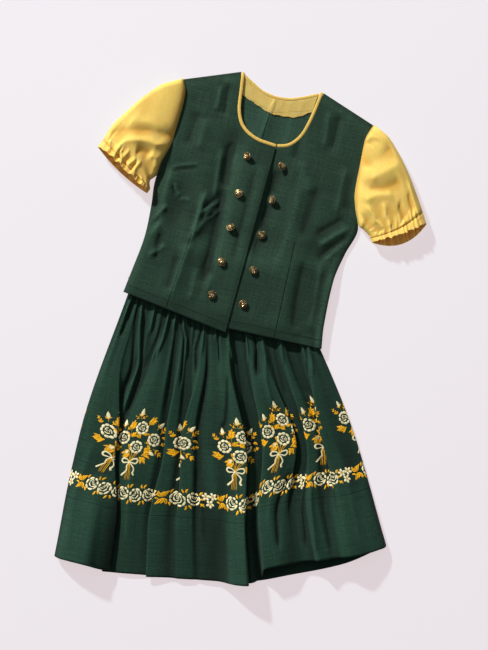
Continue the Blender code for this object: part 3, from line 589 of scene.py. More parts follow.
# folds and smaller creases of the fronts: height, width and the places each runs through
bodiceFolds = (
    (6, 70, (-120, -75), (-105, -165)),  # right bust
    (5, 70, (85, -85), (75, -170)),  # left bust
    (-4.5, 22, (-88, -10), (-90, -200)),  # right chest trough
    (3.5, 26, (-105, -150), (-118, -330)),  # right waist fold
    (1.8, 22, (-12, -60), (-10, -330)),  # lap ridge
    (3.5, 30, (90, -170), (98, -330)),  # left waist fold
    (-2.5, 28, (-165, -140), (-155, -280)),  # right side trough
    (-2.5, 28, (140, -150), (150, -290)),  # left side trough
)

bodiceCreases = (
    (-4.8, 10, (-89.2, -10), (-84, -70), (-80, -110)),
    (-6.2, 11, (-83, -95), (-74, -170), (-69.4, -245), (-68.9, -305.5)),
    (2.6, 6.5, (-104.4, -30), (-98, -85), (-93.1, -135.8)),
    (2.6, 7, (-93, -150), (-101, -185), (-110.7, -215)),
    (1.2, 3.2, (-192.8, -95), (-138.8, -74)),
    (-1.2, 3, (-190, -103), (-138.8, -82)),
    (2.4, 3.2, (-176.8, -125), (-169, -140), (-158.3, -147.7)),
    (-2, 3, (-180, -130), (-169, -148)),
    (1.8, 3.2, (-160, -152), (-136.9, -149)),
    (1.7, 4, (-115.4, -175.2), (-77.7, -131.5)),
    (-1.5, 3.4, (-110, -159), (-88, -131)),
    (1.5, 4, (-100, -183), (-69.5, -145.9)),
    (-1.3, 3.8, (-108, -186), (-82, -158)),
    (4.4, 20, (-190, -90), (-188, -170), (-186, -250)),
    (-6.2, 45, (165, -200), (175, -290), (172, -390)),
    (3.4, 5, (-212, -220), (-195, -198), (-178, -170)),
    (-2.6, 4.8, (-208, -230), (-185, -196)),
    (2.4, 5, (-198, -240), (-181.5, -210)),
    (2, 4.5, (-209, -197), (-192.4, -179)),
    (-2.4, 6.5, (-178.5, -225), (-172, -285.8)),
    (2.2, 6, (-190, -280), (-160, -248.7)),
    (4.2, 6, (-113, -230), (-114.1, -187.3), (-111.9, -120.3)),
    (-2.2, 10, (35, 60), (42, -20)),
    (2, 16, (65, -40), (70, -160), (62, -260)),
    (-2, 12, (100, -50), (95, -170)),
    (-2.4, 11, (165, -10), (172, -90)),
    (2.4, 10, (145, 0), (150, -100)),
    (2.6, 7, (-123, -350), (-118, -270), (-114, -230)),
    (-1.8, 7, (-135, -340), (-133, -260)),
    (1.8, 8, (-85, -345), (-88, -273.9)),
    (1.6, 7, (-55, -338.2), (-60, -276.6)),
    (2.8, 7, (186, -117.1), (160, -140), (131.9, -172)),
    (-2.4, 6.5, (190, -130), (156, -170), (138, -195)),
    (2.4, 7, (185, -148), (148.2, -200)),
    (-1.8, 6, (168.8, -100), (120.6, -150)),
    (-3, 11, (112, -200), (118, -280), (130.6, -350)),
    (3, 11, (147.1, -193.7), (156, -270), (164, -350)),
    (2, 6, (-139.1, 90.1), (-134.3, 35.4)),
    (-2, 7, (-126, 97.4), (-118, 30)),
    (2, 8, (82.4, 99.6), (92.2, 19.3)),
    (-2, 9, (105, 100), (108, 20)),
    (1.8, 12, (51.3, -12.8), (89.8, -76.8)),
    (1.6, 8, (7.4, -139.1), (9.9, -252.6)),
    (-2.2, 13, (-170, 30), (-172, -50)),
    (2, 12, (-150, 20), (-150, -50)),
    (-1.4, 7, (-30, -50), (-26, -150), (-24, -260)),
    (-3.4, 12, (12, -30), (15, -120), (10, -250)),
)


def toWorld(across, along):
    x0, y0 = bodice["origin"]
    return x0 + across * tiltCos + along * tiltSin, y0 - across * tiltSin + along * tiltCos


def toBodice(x, y):
    x, y = x - bodice["origin"][0], y - bodice["origin"][1]
    return x * tiltCos - y * tiltSin, x * tiltSin + y * tiltCos


def raised(flat, height):  # flat places of the bodice, lifted to a height
    across, along = flat[..., 0], flat[..., 1]
    return np.stack([*toWorld(across, along), height(across, along)], -1)


def bodiceSupport(along):
    return bodice["pile"] * smooth((bodice["pileTop"] - along) / (bodice["pileTop"] - bodice["pileFull"]))


def distanceFromLine(across, along, start, end):
    run = np.subtract(end, start)
    run = run / np.linalg.norm(run)
    return abs((across - start[0]) * run[1] - (along - start[1]) * run[0])


def frontHeight(across, along):
    rise = 1
    sides = []
    for rows, underarm, outward in ((outlineRight, "underarmRight", -1), (outlineLeft, "underarmLeft", 1)):
        side = spline(column(rows, "along"), column(rows, "across"), along)
        sides.append((side - across) * outward)
        # the armhole has no rolled edge
        opened = smooth((along - bodice[underarm] + bodice["openBelow"]) / bodice["openOver"])
        rise = rise * np.maximum(quarterRound(sides[-1], bodice["sideRound"]), opened)
    ends = placesOf((outlineRight[-1], neckline[0], neckline[-1], outlineLeft[-1]))
    onRight = across < bodice["betweenShoulders"]
    shoulder = np.where(onRight, distanceFromLine(across, along, *ends[:2]),
                        distanceFromLine(across, along, *ends[2:]))
    rise = rise * np.sin(np.clip(shoulder / bodice["shoulderRound"], 0, 1) * math.pi / 2)
    low = bodice["shoulderCrown"]
    crown = low + (bodice["crown"] - low) * smooth(shoulder / bodice["crownReach"])
    crown = crown + creaseRelief(across, along, bodiceFolds, 2, False)
    small = creaseRelief(across, along, bodiceCreases) * bodice["creaseRise"]
    for row in buttons:  # the cloth is held flat around each shank
        away = np.hypot(across - row["across"], along - row["along"])
        small = small * smooth((away - bodice["flatAtButton"]) / bodice["flatFade"])
    edge = smooth(np.minimum(*sides) / bodice["creaseEdge"])
    base = bodice["wall"] / 2 + layer + bodiceSupport(along)
    drop = bodice["hemDrop"] * (1 - smooth((along - bodice["hemDropAt"]) / bodice["hemDropReach"]))
    return base + np.maximum((crown - drop) * rise + small * edge * rise, 0)


def rightFrontHeight(across, along):
    lift = smooth((across - bodice["lapLiftStart"]) / (bodice["lapLiftEnd"] - bodice["lapLiftStart"]))
    loose = bodice["lapLoose"] * np.exp(-(((along - bodice["lapLooseAt"]) / bodice["lapLooseReach"]) ** 2))
    return frontHeight(across, along) + (bodice["lapLift"] + loose) * lift


rowShare = 8  # rows of the fronts to each of their main rows
centreRows = 11
neckRows = 9
bodiceRows = (centreRows + neckRows) * rowShare + 1
frontShares = np.concatenate([
    [0, 0.004, 0.009, 0.015], np.linspace(0.022, 0.978, 92), [0.985, 0.991, 0.996, 1],
])
neckPoints = placesOf(neckline)
backNeckPoints = placesOf(backNeckline)
hemTurn = bodice["hemTurn"] / mm


def neckEdge(points, moved):
    return insetLine(trace(points, neckRows * rowShare + 1), moved)


def layCloth(name, grid, height, material, thickness=bodice["shell"]):
    return clothShell(name, raised(grid, height), grid, material, thickness)


def makeFrontRight():
    outer = trace(placesOf(outlineRight), bodiceRows)
    neck = neckEdge(neckPoints[:7], 0)[::-1]
    centre = splitLine((bodice["lapEdge"], -0.3857), neck[0], np.linspace(0, 1, centreRows * rowShare + 1))
    grid = acrossRows(outer, np.concatenate([centre[:-1], neck]), frontShares)
    material = clothMaterial("rightFrontLinen", linenLook, (
        ((-126.6, -376), (-116.8, -215), 1.1, 0.9),
        ((-217.4, hemTurn - 361.2), (0, hemTurn - 385.7), 0.9, 0.55),
        ((-5, -385), (-7, -8), 0.7, 0.25),
    ))
    piece = layCloth("bodiceFrontRight", grid, rightFrontHeight, material)
    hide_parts("bodice_front_right")


def makeFrontLeft():
    outer = trace(placesOf(outlineLeft), bodiceRows)
    neck = neckEdge(neckPoints[6:], 0)
    start = (bodice["underlapEdge"], -0.017)
    low = (-0.018, -0.0150)
    step = np.linspace(0, 1, rowShare + 1)
    foot = (bodice["underlapEdge"], -0.3790)
    inner = np.concatenate([
        splitLine(foot, start, np.linspace(0, 1, (centreRows - 1) * rowShare + 1)),
        splitLine(start, low, step)[1:], splitLine(low, neck[rowShare], step)[1:], neck[rowShare + 1:],
    ])
    grid = acrossRows(inner, outer, frontShares)
    material = clothMaterial("leftFrontLinen", linenLook, (
        ((97.4, -380), (85.7, -174.4), 1.1, 0.9),
        ((-40, hemTurn - 379), (192.8, hemTurn - 365.8), 0.9, 0.55),
    ))
    piece = layCloth("bodiceFrontLeft", grid, frontHeight, material)
    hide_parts("bodice_front_left")


def patchGrid(bottom, top, left, right):  # fills the space between four lines
    reach = lengths(bottom)
    shares = np.linspace(0, 1, len(left))
    a, b = (reach / reach[-1])[None, :, None], shares[:, None, None]
    bowLeft, bowRight = ((line - splitLine(line[0], line[-1], shares))[:, None] for line in (left, right))
    return bottom[None] * (1 - b) + top[None] * b + bowLeft * (1 - a) + bowRight * a


backCreases = (
    (3.6, 4, (-28, 99), (-35, 30), (-43, -30)),
    (1.6, 13, (-40, 90), (-48, 30), (-56, -30)),
    (1, 12, (18, 80), (13, -10)),
    (0.9, 6, (-80, 50), (-70, 5)),
)


def backHeight(across, along):
    rise = creaseRelief(across, along, backCreases)
    return bodice["wall"] / 2 + bodiceSupport(along) + np.minimum(rise, bodice["backCreaseTop"])


binding = {"width": 0.0067, "height": 0.0030, "clearance": 0.0001}
neckInset = -binding["width"] - bodice["gap"]


def makeBack():
    right = trace(placesOf(outlineRight), 101)
    left = trace(placesOf(outlineLeft), 101)
    neck = insetLine(trace(backNeckPoints, 53), neckInset)
    shares = np.linspace(0, 1, 17)
    top = np.concatenate([
        splitLine(right[-1], neck[0], shares[:-1]), neck, splitLine(neck[-1], left[-1], shares[1:]),
    ])
    reach = (top[:, 0] - top[0, 0]) / (top[-1, 0] - top[0, 0])
    grid = patchGrid(splitLine(right[0], left[0], reach), top, right, left)
    material = clothMaterial("backLinen", backLook, (
        ((-29, 95), (-48, -370), 1.1, 0.9),
        ((-217.4, -345.2), (192.8, -349.8), 0.9, 0.55),
        ((-130, -360), (-134, -200), 1.1, 0.8),
        ((70, -362), (70, -200), 1.1, 0.8),
    ))
    piece = layCloth("bodiceBack", grid, backHeight, material)
    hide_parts("bodice_back")


def makeBindings():
    middle = binding["width"] / 2 + 2 * bodice["gap"]
    right = neckEdge(neckPoints[:7], middle)
    left = neckEdge(neckPoints[6:], middle)
    left[0] = left[0] * 0.8 + left[rowShare] * 0.2
    back = insetLine(trace(backNeckPoints, 80), -binding["width"] / 2)[4:-4]

    def rest(across, along):
        return np.full_like(across, binding["height"] / 2 + binding["clearance"])

    for name, node, line, height in (
        ("neckBindingRight", "neck_binding_right", right, rightFrontHeight),
        ("neckBindingLeft", "neck_binding_left", trace(left[::3], 80), frontHeight),
        ("neckBindingBack", "neck_binding_back", back, rest),
    ):
        path = trace(raised(line, height), 130)
        piece = makeCord(name, path, binding["width"] / 2, binding["height"] / 2, pucker=0.05)
        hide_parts(node)


facing = {"wall": 0.0010, "shell": 0.0007, "creaseTop": 0.0012, "count": 90}
facingCreases = (
    (0.5, 6, (-84, 104), (-66, 72)),
    (0.6, 7, (-58, 98), (-50, 68)),
    (0.4, 7, (-30, 94), (-22, 64)),
    (0.6, 7, (2, 96), (4, 66)),
    (0.5, 6, (28, 106), (24, 72)),
)


def facingHeight(across, along):
    # the facing spans the back's narrow hollows instead of following them
    spanned = sum(backHeight(across + step, along) for step in (-0.016, -0.008, 0.008, 0.016)) / 4
    base = np.maximum(backHeight(across, along), spanned)
    soft = np.clip(creaseRelief(across, along, facingCreases), 0, facing["creaseTop"])
    return base + bodice["wall"] / 2 + bodice["gap"] + facing["wall"] / 2 + soft


def makeFacing():
    neck = trace(backNeckPoints, 79)
    count = facing["count"]
    top = trace(insetLine(neck, neckInset * 0.9)[5:-5], count)
    bottom = trace(placesOf(facingEdge), count)
    shares = np.linspace(0, 1, 22)
    grid = patchGrid(bottom, top, *(splitLine(bottom[k], top[k], shares) for k in (0, -1)))
    wave = 0.0007 * np.sin(np.arange(count) * 0.55) + 0.0004 * np.sin(np.arange(count) * 1.7)
    grid[:, :, 1] += wave[None] * (1 - shares[:, None]) ** 3  # the free edge is wavy
    material = clothMaterial("facingCotton", facingLook, (
        ((-94.5, 83.5), (-25, 63), 0.7, 0.3), ((-25, 63), (50, 88.2), 0.7, 0.3),
    ))
    piece = layCloth("backNeckFacing", grid, facingHeight, material, facing["shell"])
    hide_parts("back_neck_facing")


makeFrontRight()
makeFrontLeft()
makeBack()
makeBindings()
makeFacing()
print("bodice ready")

# the skirt: its cloth runs from the right side seam to the left one

skirt = {
    "cloth": 0.910, "midLevel": 0.53, "riseLevel": 0.36, "lapLevel": 0.22,
    "waistLeft": (-0.223, 0.068), "waistRight": (0.121, 0.047),
    "wall": 0.0012, "shell": 0.0006, "backShell": 0.0005, "hemExtra": 0.0004, "backHemExtra": 0.0002,
    "hemTurn": 0.022, "tuck": 0.122, "gatherCount": 22, "gatherHeight": 0.0030, "gatherSwing": 0.0012,
    "gatherShort": 0.14, "gatherLong": 0.42, "gatherStart": 0.03, "gatherEdge": 0.02,
    "foldReach": 0.018, "foldFade": 0.014, "openReach": 0.30, "hemRiseFrom": 0.60, "hemStep": 0.001,
    "fullCloth": 1.820, "creaseRise": 1.80, "lowest": 0.0017,
    "roomUnderBodice": 0.0106, "roomBelow": 0.05, "roomFade": 0.014, "bodiceHem": -0.366,
}
# creases of the big folds at the middle level and at the hem: place in the cloth, across and up
creases = table(
    "crease midCloth midAcross midUp hemCloth hemAcross hemUp",
    ("side seam", 0, -319, 2.1, 0, -368, 2.1),
    ("side roll", 4, -318.8, 6, 10, -369.5, 11),
    ("side top", 12, -311.5, 10, 29, -362, 25),
    ("first panel", 30, -294, 13.2, 58, -340, 40),
    ("first ridge", 52, -270, 15, 98, -306, 48.5),
    ("first panel falls", 62, -256, 15.2, 126, -285, 32),
    ("first edge", 69, -246.5, 15, 149, -262, 16.5),
    ("first edge turn", 73, -245, 13.4, 152, -260, 14),
    ("back under first", 77, -246.5, 11.8, 155, -261.5, 11.8),
    ("under first", 120, -286, 6.8, 172, -274, 6.8),
    ("under turn", 126, -287.5, 5.1, 176, -275.5, 5.1),
    ("forward under first", 132, -286, 3.4, 180, -274, 3.4),
    ("second panel foot", 184, -243, 3.4, 200, -256, 3.4),
    ("second panel rises", 198, -231, 9.5, 215, -244, 5),
    ("second panel", 222, -208, 13, 238, -224, 6),
    ("second panel dips", 262, -168, 10.5, 262, -203, 5),
    ("second fold foot", 280, -151, 3.4, 284, -186, 3.4),
    ("second fold under", 289, -140.5, 3.4, 292, -178, 3.4),
    ("second fold turn", 292, -139, 4.9, 296, -176.5, 4.9),
    ("second fold back", 295, -140.5, 6.4, 300, -178, 6.4),
    ("second fold edge", 302, -149, 9.6, 308, -186, 8.4),
    ("second fold over", 304, -150.5, 11.4, 311, -187.2, 10.1),
    ("second fold top", 307, -149, 13.4, 314, -186, 11.8),
    ("third panel dips", 326, -129, 9.5, 336, -156, 7.5),
    ("third fold foot", 335, -119, 3.4, 350, -140, 5),
    ("third fold under", 358, -95.5, 3.4, 357, -135, 5),
    ("third fold turn", 362, -94, 5, 361, -132, 5.3),
    ("third fold back", 366, -95.5, 6.7, 365, -129, 5.9),
    ("third fold edge", 386, -116.5, 11, 370, -126, 7.8),
    ("third fold over", 390, -118, 12.8, 374, -122.5, 8.4),
    ("third fold top", 394, -116.5, 14.6, 378, -118, 8.6),
    ("soft fall", 412, -96, 14, 398, -96, 7.4),
    ("soft hollow", 424, -84, 6, 408, -86, 4.5),
    ("soft rise", 436, -72, 12.5, 418, -76, 6.2),
    ("centre panel", 463, -44, 15.5, 447, -46, 8),
    ("centre ridge", 495, -10, 22.5, 497, -6, 42),
    ("centre edge", 514, 12, 25.5, 520, 14, 50),
    ("centre edge turn", 518, 13.8, 22.5, 530, 17.5, 43),
    ("centre back", 522, 12.5, 18, 540, 17.2, 33),
    ("centre under", 528, 8.8, 12, 550, 16.5, 24),
    ("centre under turn", 531, 7.3, 9.5, 556, 16.5, 18.5),
    ("centre under foot", 534, 8.8, 8.5, 561, 18.2, 18),
    ("recess foot", 541, 15, 8.5, 566, 21.5, 18),
    ("recess", 556, 29, 6, 573, 30, 14.5),
    ("recess end", 572, 44, 3.4, 582, 38.5, 10),
    ("right fold under", 577, 48.5, 3.6, 588, 43, 11),
    ("right fold turn", 580, 50, 5.3, 592, 45.2, 16.5),
    ("right fold back", 583, 48.6, 7.1, 598, 45.8, 21.5),
    ("right fold edge", 592, 45, 11.2, 606, 46, 28.5),
    ("right fold over", 596, 43.7, 16, 613, 46.4, 35),
    ("right panel", 600, 45.2, 19, 620, 49, 40.5),
    ("right panel middle", 634, 77, 16, 656, 76, 38),
    ("right panel end", 668, 109.5, 15, 686, 102, 26),
    ("right panel turn", 671, 111.2, 13.4, 689, 105.5, 24.2),
    ("right panel back", 674, 109.8, 11.7, 692, 108.5, 22.8),
    ("right under", 682, 105, 7, 696, 112, 21),
    ("right under turn", 686, 103.5, 5.2, 699, 115, 19.9),
    ("right under foot", 690, 105, 3.5, 703, 118.5, 18.8),
    ("gap foot", 697, 111, 3.4, 708, 123.5, 18),
    ("gap end", 714, 127.5, 3.4, 714, 129.5, 18.2),
    ("narrow under", 722, 135, 3.5, 719, 134, 19),
    ("narrow turn", 725, 136.5, 5.1, 722, 137, 20),
    ("narrow back", 728, 135, 6.7, 726, 140, 21.2),
    ("narrow edge", 735, 132, 10.6, 731, 144, 23.2),
    ("narrow over", 739, 130.6, 12.5, 737, 149, 26.2),
    ("narrow panel", 744, 132, 14.2, 744, 155, 39),
    ("narrow falls", 762, 150, 10.5, 764, 172, 33),
    ("narrow foot", 770, 159, 3.4, 776, 183, 31),
    ("side fold under", 797, 184, 3.4, 792, 195, 32.5),
    ("side fold turn", 801, 185.5, 5, 798, 200, 35),
    ("side fold back", 805, 184, 6.7, 804, 205, 39),
    ("side fold edge", 829, 162, 11, 816, 215, 44),
    ("side panel edge", 833, 160.5, 16, 822, 220, 45.2),
    ("side panel", 837, 162, 18.2, 828, 226, 44),
    ("side panel middle", 866, 191, 12.5, 858, 250, 35),
    ("left side top", 895, 218, 7, 884, 274, 25),
    ("left side roll", 905, 226, 6, 900, 290, 12),
    ("left side seam", 910, 226.2, 2.1, 910, 292, 2.1),
)

hemLine = table(
    "place cloth along",
    ("left corner", 0, -455),
    ("first ridge", 98, -471),
    ("first edge", 150, -486),
    ("second panel", 260, -495),
    ("centre panel", 430, -507),
    ("centre edge", 515, -512),
    ("recess", 565, -511),
    ("right panel", 612, -483),
    ("right trough", 705, -469),
    ("side ridge", 790, -459),
    ("side panel", 860, -450),
    ("right corner", 910, -437),
)

backHemLine = table(
    "place across along",
    ("left corner", -369, -456),
    ("left", -280, -480),
    ("left of centre", -120, -503),
    ("centre", 10, -510),
    ("right of centre", 110, -495),
    ("right", 210, -474),
    ("right corner", 293, -438),
)

# smaller creases: cloth from the side seam, and distance below the waist
skirtCreases = (
    (4.2, 4.8, (80, 4), (87, 26), (117, 82), (151, 153), (168, 211), (177, 243)),
    (-4.2, 5.5, (68, 10), (80, 49), (100, 98), (122, 147), (155, 230)),
    (-3.6, 4.5, (95, 6), (105, 32), (132, 82), (157, 142), (176, 194), (184, 232)),
    (-4.6, 6.5, (216, 10), (213, 43), (204, 81), (190, 112), (170, 150)),
    (3, 6, (232, 10), (230, 50), (221, 90), (206, 125)),
    (2.4, 3.6, (208, 60), (205, 100), (190, 138)),
    (-4, 4.2, (283, 10), (292, 52), (318, 86), (321, 140), (324, 189)),
    (3.4, 3.6, (296, 10), (304, 52), (328, 90), (331, 130)),
    (-3, 4, (334, 10), (336, 60), (342, 100)),
    (-4.4, 5.5, (392, 14), (391, 72), (375, 106), (380, 160)),
    (-2.6, 3.4, (366, 10), (363, 71), (358, 100)),
    (2.6, 5, (405, 14), (405, 72), (396, 120)),
    (-3.2, 3.2, (466, 16), (469, 82), (473, 137)),
    (2.4, 5, (456, 16), (458, 90)),
    (-2.6, 4, (503, 150), (498, 177), (482, 247), (469, 270)),
    (4.4, 6.5, (514, 14), (519, 83), (534, 130)),
    (-8, 19, (570, 14), (576, 100), (572, 190), (567, 320)),
    (-3.4, 8, (545, 14), (553, 87), (552, 247)),
    (4.4, 5, (598, 20), (597, 98), (588, 136)),
    (-5, 8, (636, 14), (636, 100), (614, 160)),
    (2.8, 8, (668, 30), (668, 114), (645, 162), (637, 225)),
    (-2.6, 4.5, (722, 20), (712, 147), (704, 190)),
    (3, 6, (752, 14), (748, 80), (736, 130)),
    (-4.4, 7, (812, 14), (815, 105), (785, 171)),
    (3, 4.5, (868, 14), (862, 100), (842, 150)),
    (-3, 4.2, (850, 14), (846, 100), (822, 150)),
    (-3, 4.5, (39, 4), (39, 56), (36, 90)),
    (3.4, 4.2, (156, 4), (158, 35), (161, 80)),
    (-2.4, 3.5, (70, 0), (74, 27), (83, 62)),
    (2.8, 5, (28, 4), (24, 50)),
    (-5, 20, (790, 40), (785, 190)),
    (2, 6, (262, 10), (262, 70)),
    (1.2, 8, (222, 300), (230, 500)),
    (1.4, 10, (450, 300), (455, 480)),
    (-1.4, 8, (425, 330), (428, 500)),
    (1.4, 9, (640, 260), (650, 470)),
    (-4, 6, (672, 330), (668, 430), (662, 500)),
    (3, 6, (752, 350), (748, 430), (742, 500)),
    (-4, 5, (736, 350), (730, 430), (722, 500)),
    (-2.2, 5, (782, 380), (778, 500)),
    (1.6, 9, (34, 280), (50, 520)),
    (1.4, 9, (860, 280), (850, 500)),
)

foldNumbers = np.arange(len(creases))
midCloth = column(creases, "midCloth")


def creaseColumns(step):
    places = []
    for i, gap in enumerate(np.diff(midCloth)):
        parts = max(3, math.ceil(gap / step))
        places += [i + k / parts for k in range(parts)]
    return np.array(places + [len(creases) - 1])


def creaseValue(name, columns):
    cloth = column(creases, name[:3] + "Cloth")
    return spline(cloth, column(creases, name), np.interp(columns, foldNumbers, cloth))


def gatherWave(cloth, level, free):
    turn = cloth / skirt["cloth"] * skirt["gatherCount"]
    number = np.floor(turn)
    uneven = 0.5 + 0.3 * np.sin(number * 2.4) + 0.2 * np.sin(number * 0.9 + 1.0)
    length = skirt["gatherShort"] + (skirt["gatherLong"] - skirt["gatherShort"]) * uneven * free
    strength = smooth(level / skirt["gatherStart"]) * np.exp(-((level / length) ** 2))
    side = np.minimum(cloth, skirt["cloth"] - cloth) / skirt["gatherEdge"]
    strength = strength * np.clip(side, 0, 1) * (0.8 + 0.2 * uneven)
    height = skirt["gatherHeight"] * strength * 0.5 * (1 - np.cos(2 * math.pi * turn))
    return height, skirt["gatherSwing"] * strength * np.sin(2 * math.pi * turn)


def freeCloth(columns):  # 0 where the cloth turns under in a fold, 1 away from there
    middles = (midCloth[1:] + midCloth[:-1]) / 2
    turned = middles[np.diff(column(creases, "midAcross")) < 0]
    at = np.interp(columns, foldNumbers, midCloth)
    nearest = np.min(np.abs(at[:, None] - turned[None]), axis=1)
    return smooth((nearest - skirt["foldReach"]) / skirt["foldFade"])


def waistAt(share):
    left, right = skirt["waistLeft"][1], skirt["waistRight"][1]
    return left + share * (right - left)


def aboveHem(points):  # how far each place is from the hem, measured along the cloth
    steps = np.linalg.norm(np.diff(points, axis=0), axis=2)
    return np.concatenate([np.cumsum(steps[::-1], axis=0)[::-1], np.zeros((1, points.shape[1]))])


def skirtRows(columns, levels):
    # the middle of the skirt front's cloth from the waist to the hem, and the cloth's own coordinates
    cloth = np.interp(columns, foldNumbers, midCloth)
    hemCloth = np.interp(columns, foldNumbers, column(creases, "hemCloth"))
    share = cloth / skirt["cloth"]
    midAcross, hemAcross, midUp, hemUp = (
        creaseValue(name, columns) for name in ("midAcross", "hemAcross", "midUp", "hemUp")
    )
    hemAlong = spline(column(hemLine, "cloth"), column(hemLine, "along"), hemCloth)
    waistAlong = waistAt(share)
    first, last = creases[0], creases[-1]
    evenMid, evenHem = (
        first[name] + share * (last[name] - first[name]) for name in ("midAcross", "hemAcross")
    )
    free = freeCloth(columns)
    knots = (0, skirt["midLevel"], 1)
    flat = skirt["wall"] / 2 + layer
    points, clothAt = [], []
    for level in levels:
        height, swing = gatherWave(cloth, level, free)
        outerLeft, outerRight = (
            spline(knots, (skirt[waist][0], row["midAcross"], row["hemAcross"]), level)
            for waist, row in (("waistLeft", first), ("waistRight", last))
        )
        opened = smooth((level - skirt["midLevel"]) / skirt["openReach"])
        lapped = smooth((level - skirt["lapLevel"]) / (skirt["midLevel"] - skirt["lapLevel"]))
        moved = (midAcross - evenMid) * lapped
        moved = moved + (hemAcross - evenHem - moved) * opened
        up = flat + (midUp - flat) * smooth(level / skirt["riseLevel"])
        up = up + (hemUp - up) * smooth((level - skirt["hemRiseFrom"]) / (1 - skirt["hemRiseFrom"]))
        at = cloth + (hemCloth - cloth) * opened
        along = waistAlong + (hemAlong - waistAlong) * level
        below = (waistAlong - hemAlong) * level
        fine = creaseRelief(at, below, skirtCreases) * skirt["creaseRise"] * (0.8 + 0.2 * free)
        across = outerLeft + share * (outerRight - outerLeft) + moved + swing
        up = np.maximum(up + height + fine, skirt["lowest"])
        under = toBodice(across, along)[1]  # below the bodice the gathers are pressed down
        past = smooth((skirt["bodiceHem"] - under) / skirt["roomFade"])
        room = skirt["roomUnderBodice"] + skirt["roomBelow"] * past
        points.append(np.stack([across, along, np.minimum(up, room)], 1))
        clothAt.append(at)
    points = np.array(points)
    return points, np.stack([np.array(clothAt), aboveHem(points)], 2)


def hemThickness(above, plain, extra):
    step = skirt["hemStep"]
    return (plain + extra * smooth((skirt["hemTurn"] + step - above) / (2 * step)))[:, :, None]


skirtSeams = [
    ((-1000, skirt[name] / mm), (3000, skirt[name] / mm), width, depth)
    for name, width, depth in (("tuck", 1.1, 0.40), ("hemTurn", 0.8, 0.25))
]


def makeSkirtFront():
    columns = creaseColumns(0.0028)
    levels = np.concatenate([np.linspace(0, 0.1, 14)[:-1], np.linspace(0.1, 1, 104)])
    points, cloth = (grid[::-1] for grid in skirtRows(columns, levels))
    thickness = hemThickness(cloth[:, :, 1], skirt["shell"], skirt["hemExtra"])
    material = clothMaterial("skirtFrontLinen", skirtLook, skirtSeams)
    piece = clothShell("skirtFront", points, cloth, material, thickness, reach=8)
    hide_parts("skirt_front")
    print("skirt front triangles", triangles(piece))
    return points, cloth


def makeSkirtBack():
    levels = np.linspace(0, 1, 84)
    edges, cloth = skirtRows(np.array([0.0, len(creases) - 1.0]), levels)
    hem = trace(placesOf(backHemLine), 112)
    share = (hem[:, 0] - hem[0, 0]) / (hem[-1, 0] - hem[0, 0])
    waistAlong = waistAt(share)
    rows = []
    for level, (left, right) in zip(levels, edges[:, :, 0]):
        across = left + share * (right - left)
        along = waistAlong + (hem[:, 1] - waistAlong) * level
        rows.append(np.stack([across, along, np.full_like(across, skirt["wall"] * 0.6)], 1))
    points = np.array(rows)
    above = aboveHem(points)
    at = skirt["fullCloth"] - share * (skirt["fullCloth"] - skirt["cloth"])
    cloth = np.stack([np.broadcast_to(at, above.shape), above], 2)[::-1]
    points = points[::-1]
    thickness = hemThickness(cloth[:, :, 1], skirt["backShell"], skirt["backHemExtra"])
    material = clothMaterial("skirtBackLinen", skirtLook, skirtSeams)
    piece = clothShell("skirtBack", points, cloth, material, thickness)
    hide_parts("skirt_back")
    return points, cloth


waistband = {
    "height": 0.030, "wall": 0.0016, "shell": 0.7, "ripple": 0.00018, "ripples": 420,
    "rows": 15, "columns": 120,
}


def makeWaistbands():
    height, wall, rows, columns = (waistband[name] for name in ("height", "wall", "rows", "columns"))
    ends = np.array([skirt["waistLeft"], skirt["waistRight"]]) + (0, waistSeamGap)
    line = splitLine(ends[0], ends[1], np.linspace(0, 1, columns))
    rise = np.linspace(0, height, rows)[:, None]
    across = np.broadcast_to(line[:, 0], (rows, columns))
    ripple = waistband["ripple"] * np.sin(across * waistband["ripples"]) * np.cos(rise / height * math.pi)
    for name, node, up in (("waistbandBack", "waistband_back", wall / 2),
                           ("waistbandFront", "waistband_front", wall * 1.5 + bodice["gap"])):
        grid = np.stack([across, line[:, 1] + rise, up + ripple], 2)
        cloth = np.stack([across, grid[:, :, 1] - line[:, 1]], 2)
        seams = [((-1000, level), (1000, level), 0.7, 0.5) for level in (3, 27)]
        material = clothMaterial(name + "Linen", skirtLook, seams)
        piece = clothShell(name, grid, cloth, material, wall * waistband["shell"])
        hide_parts(node)


skirtPoints, skirtCloth = makeSkirtFront()
backPoints, backCloth = makeSkirtBack()
makeWaistbands()
print("skirt ready")

# the puff sleeves, from the armhole to the cuff

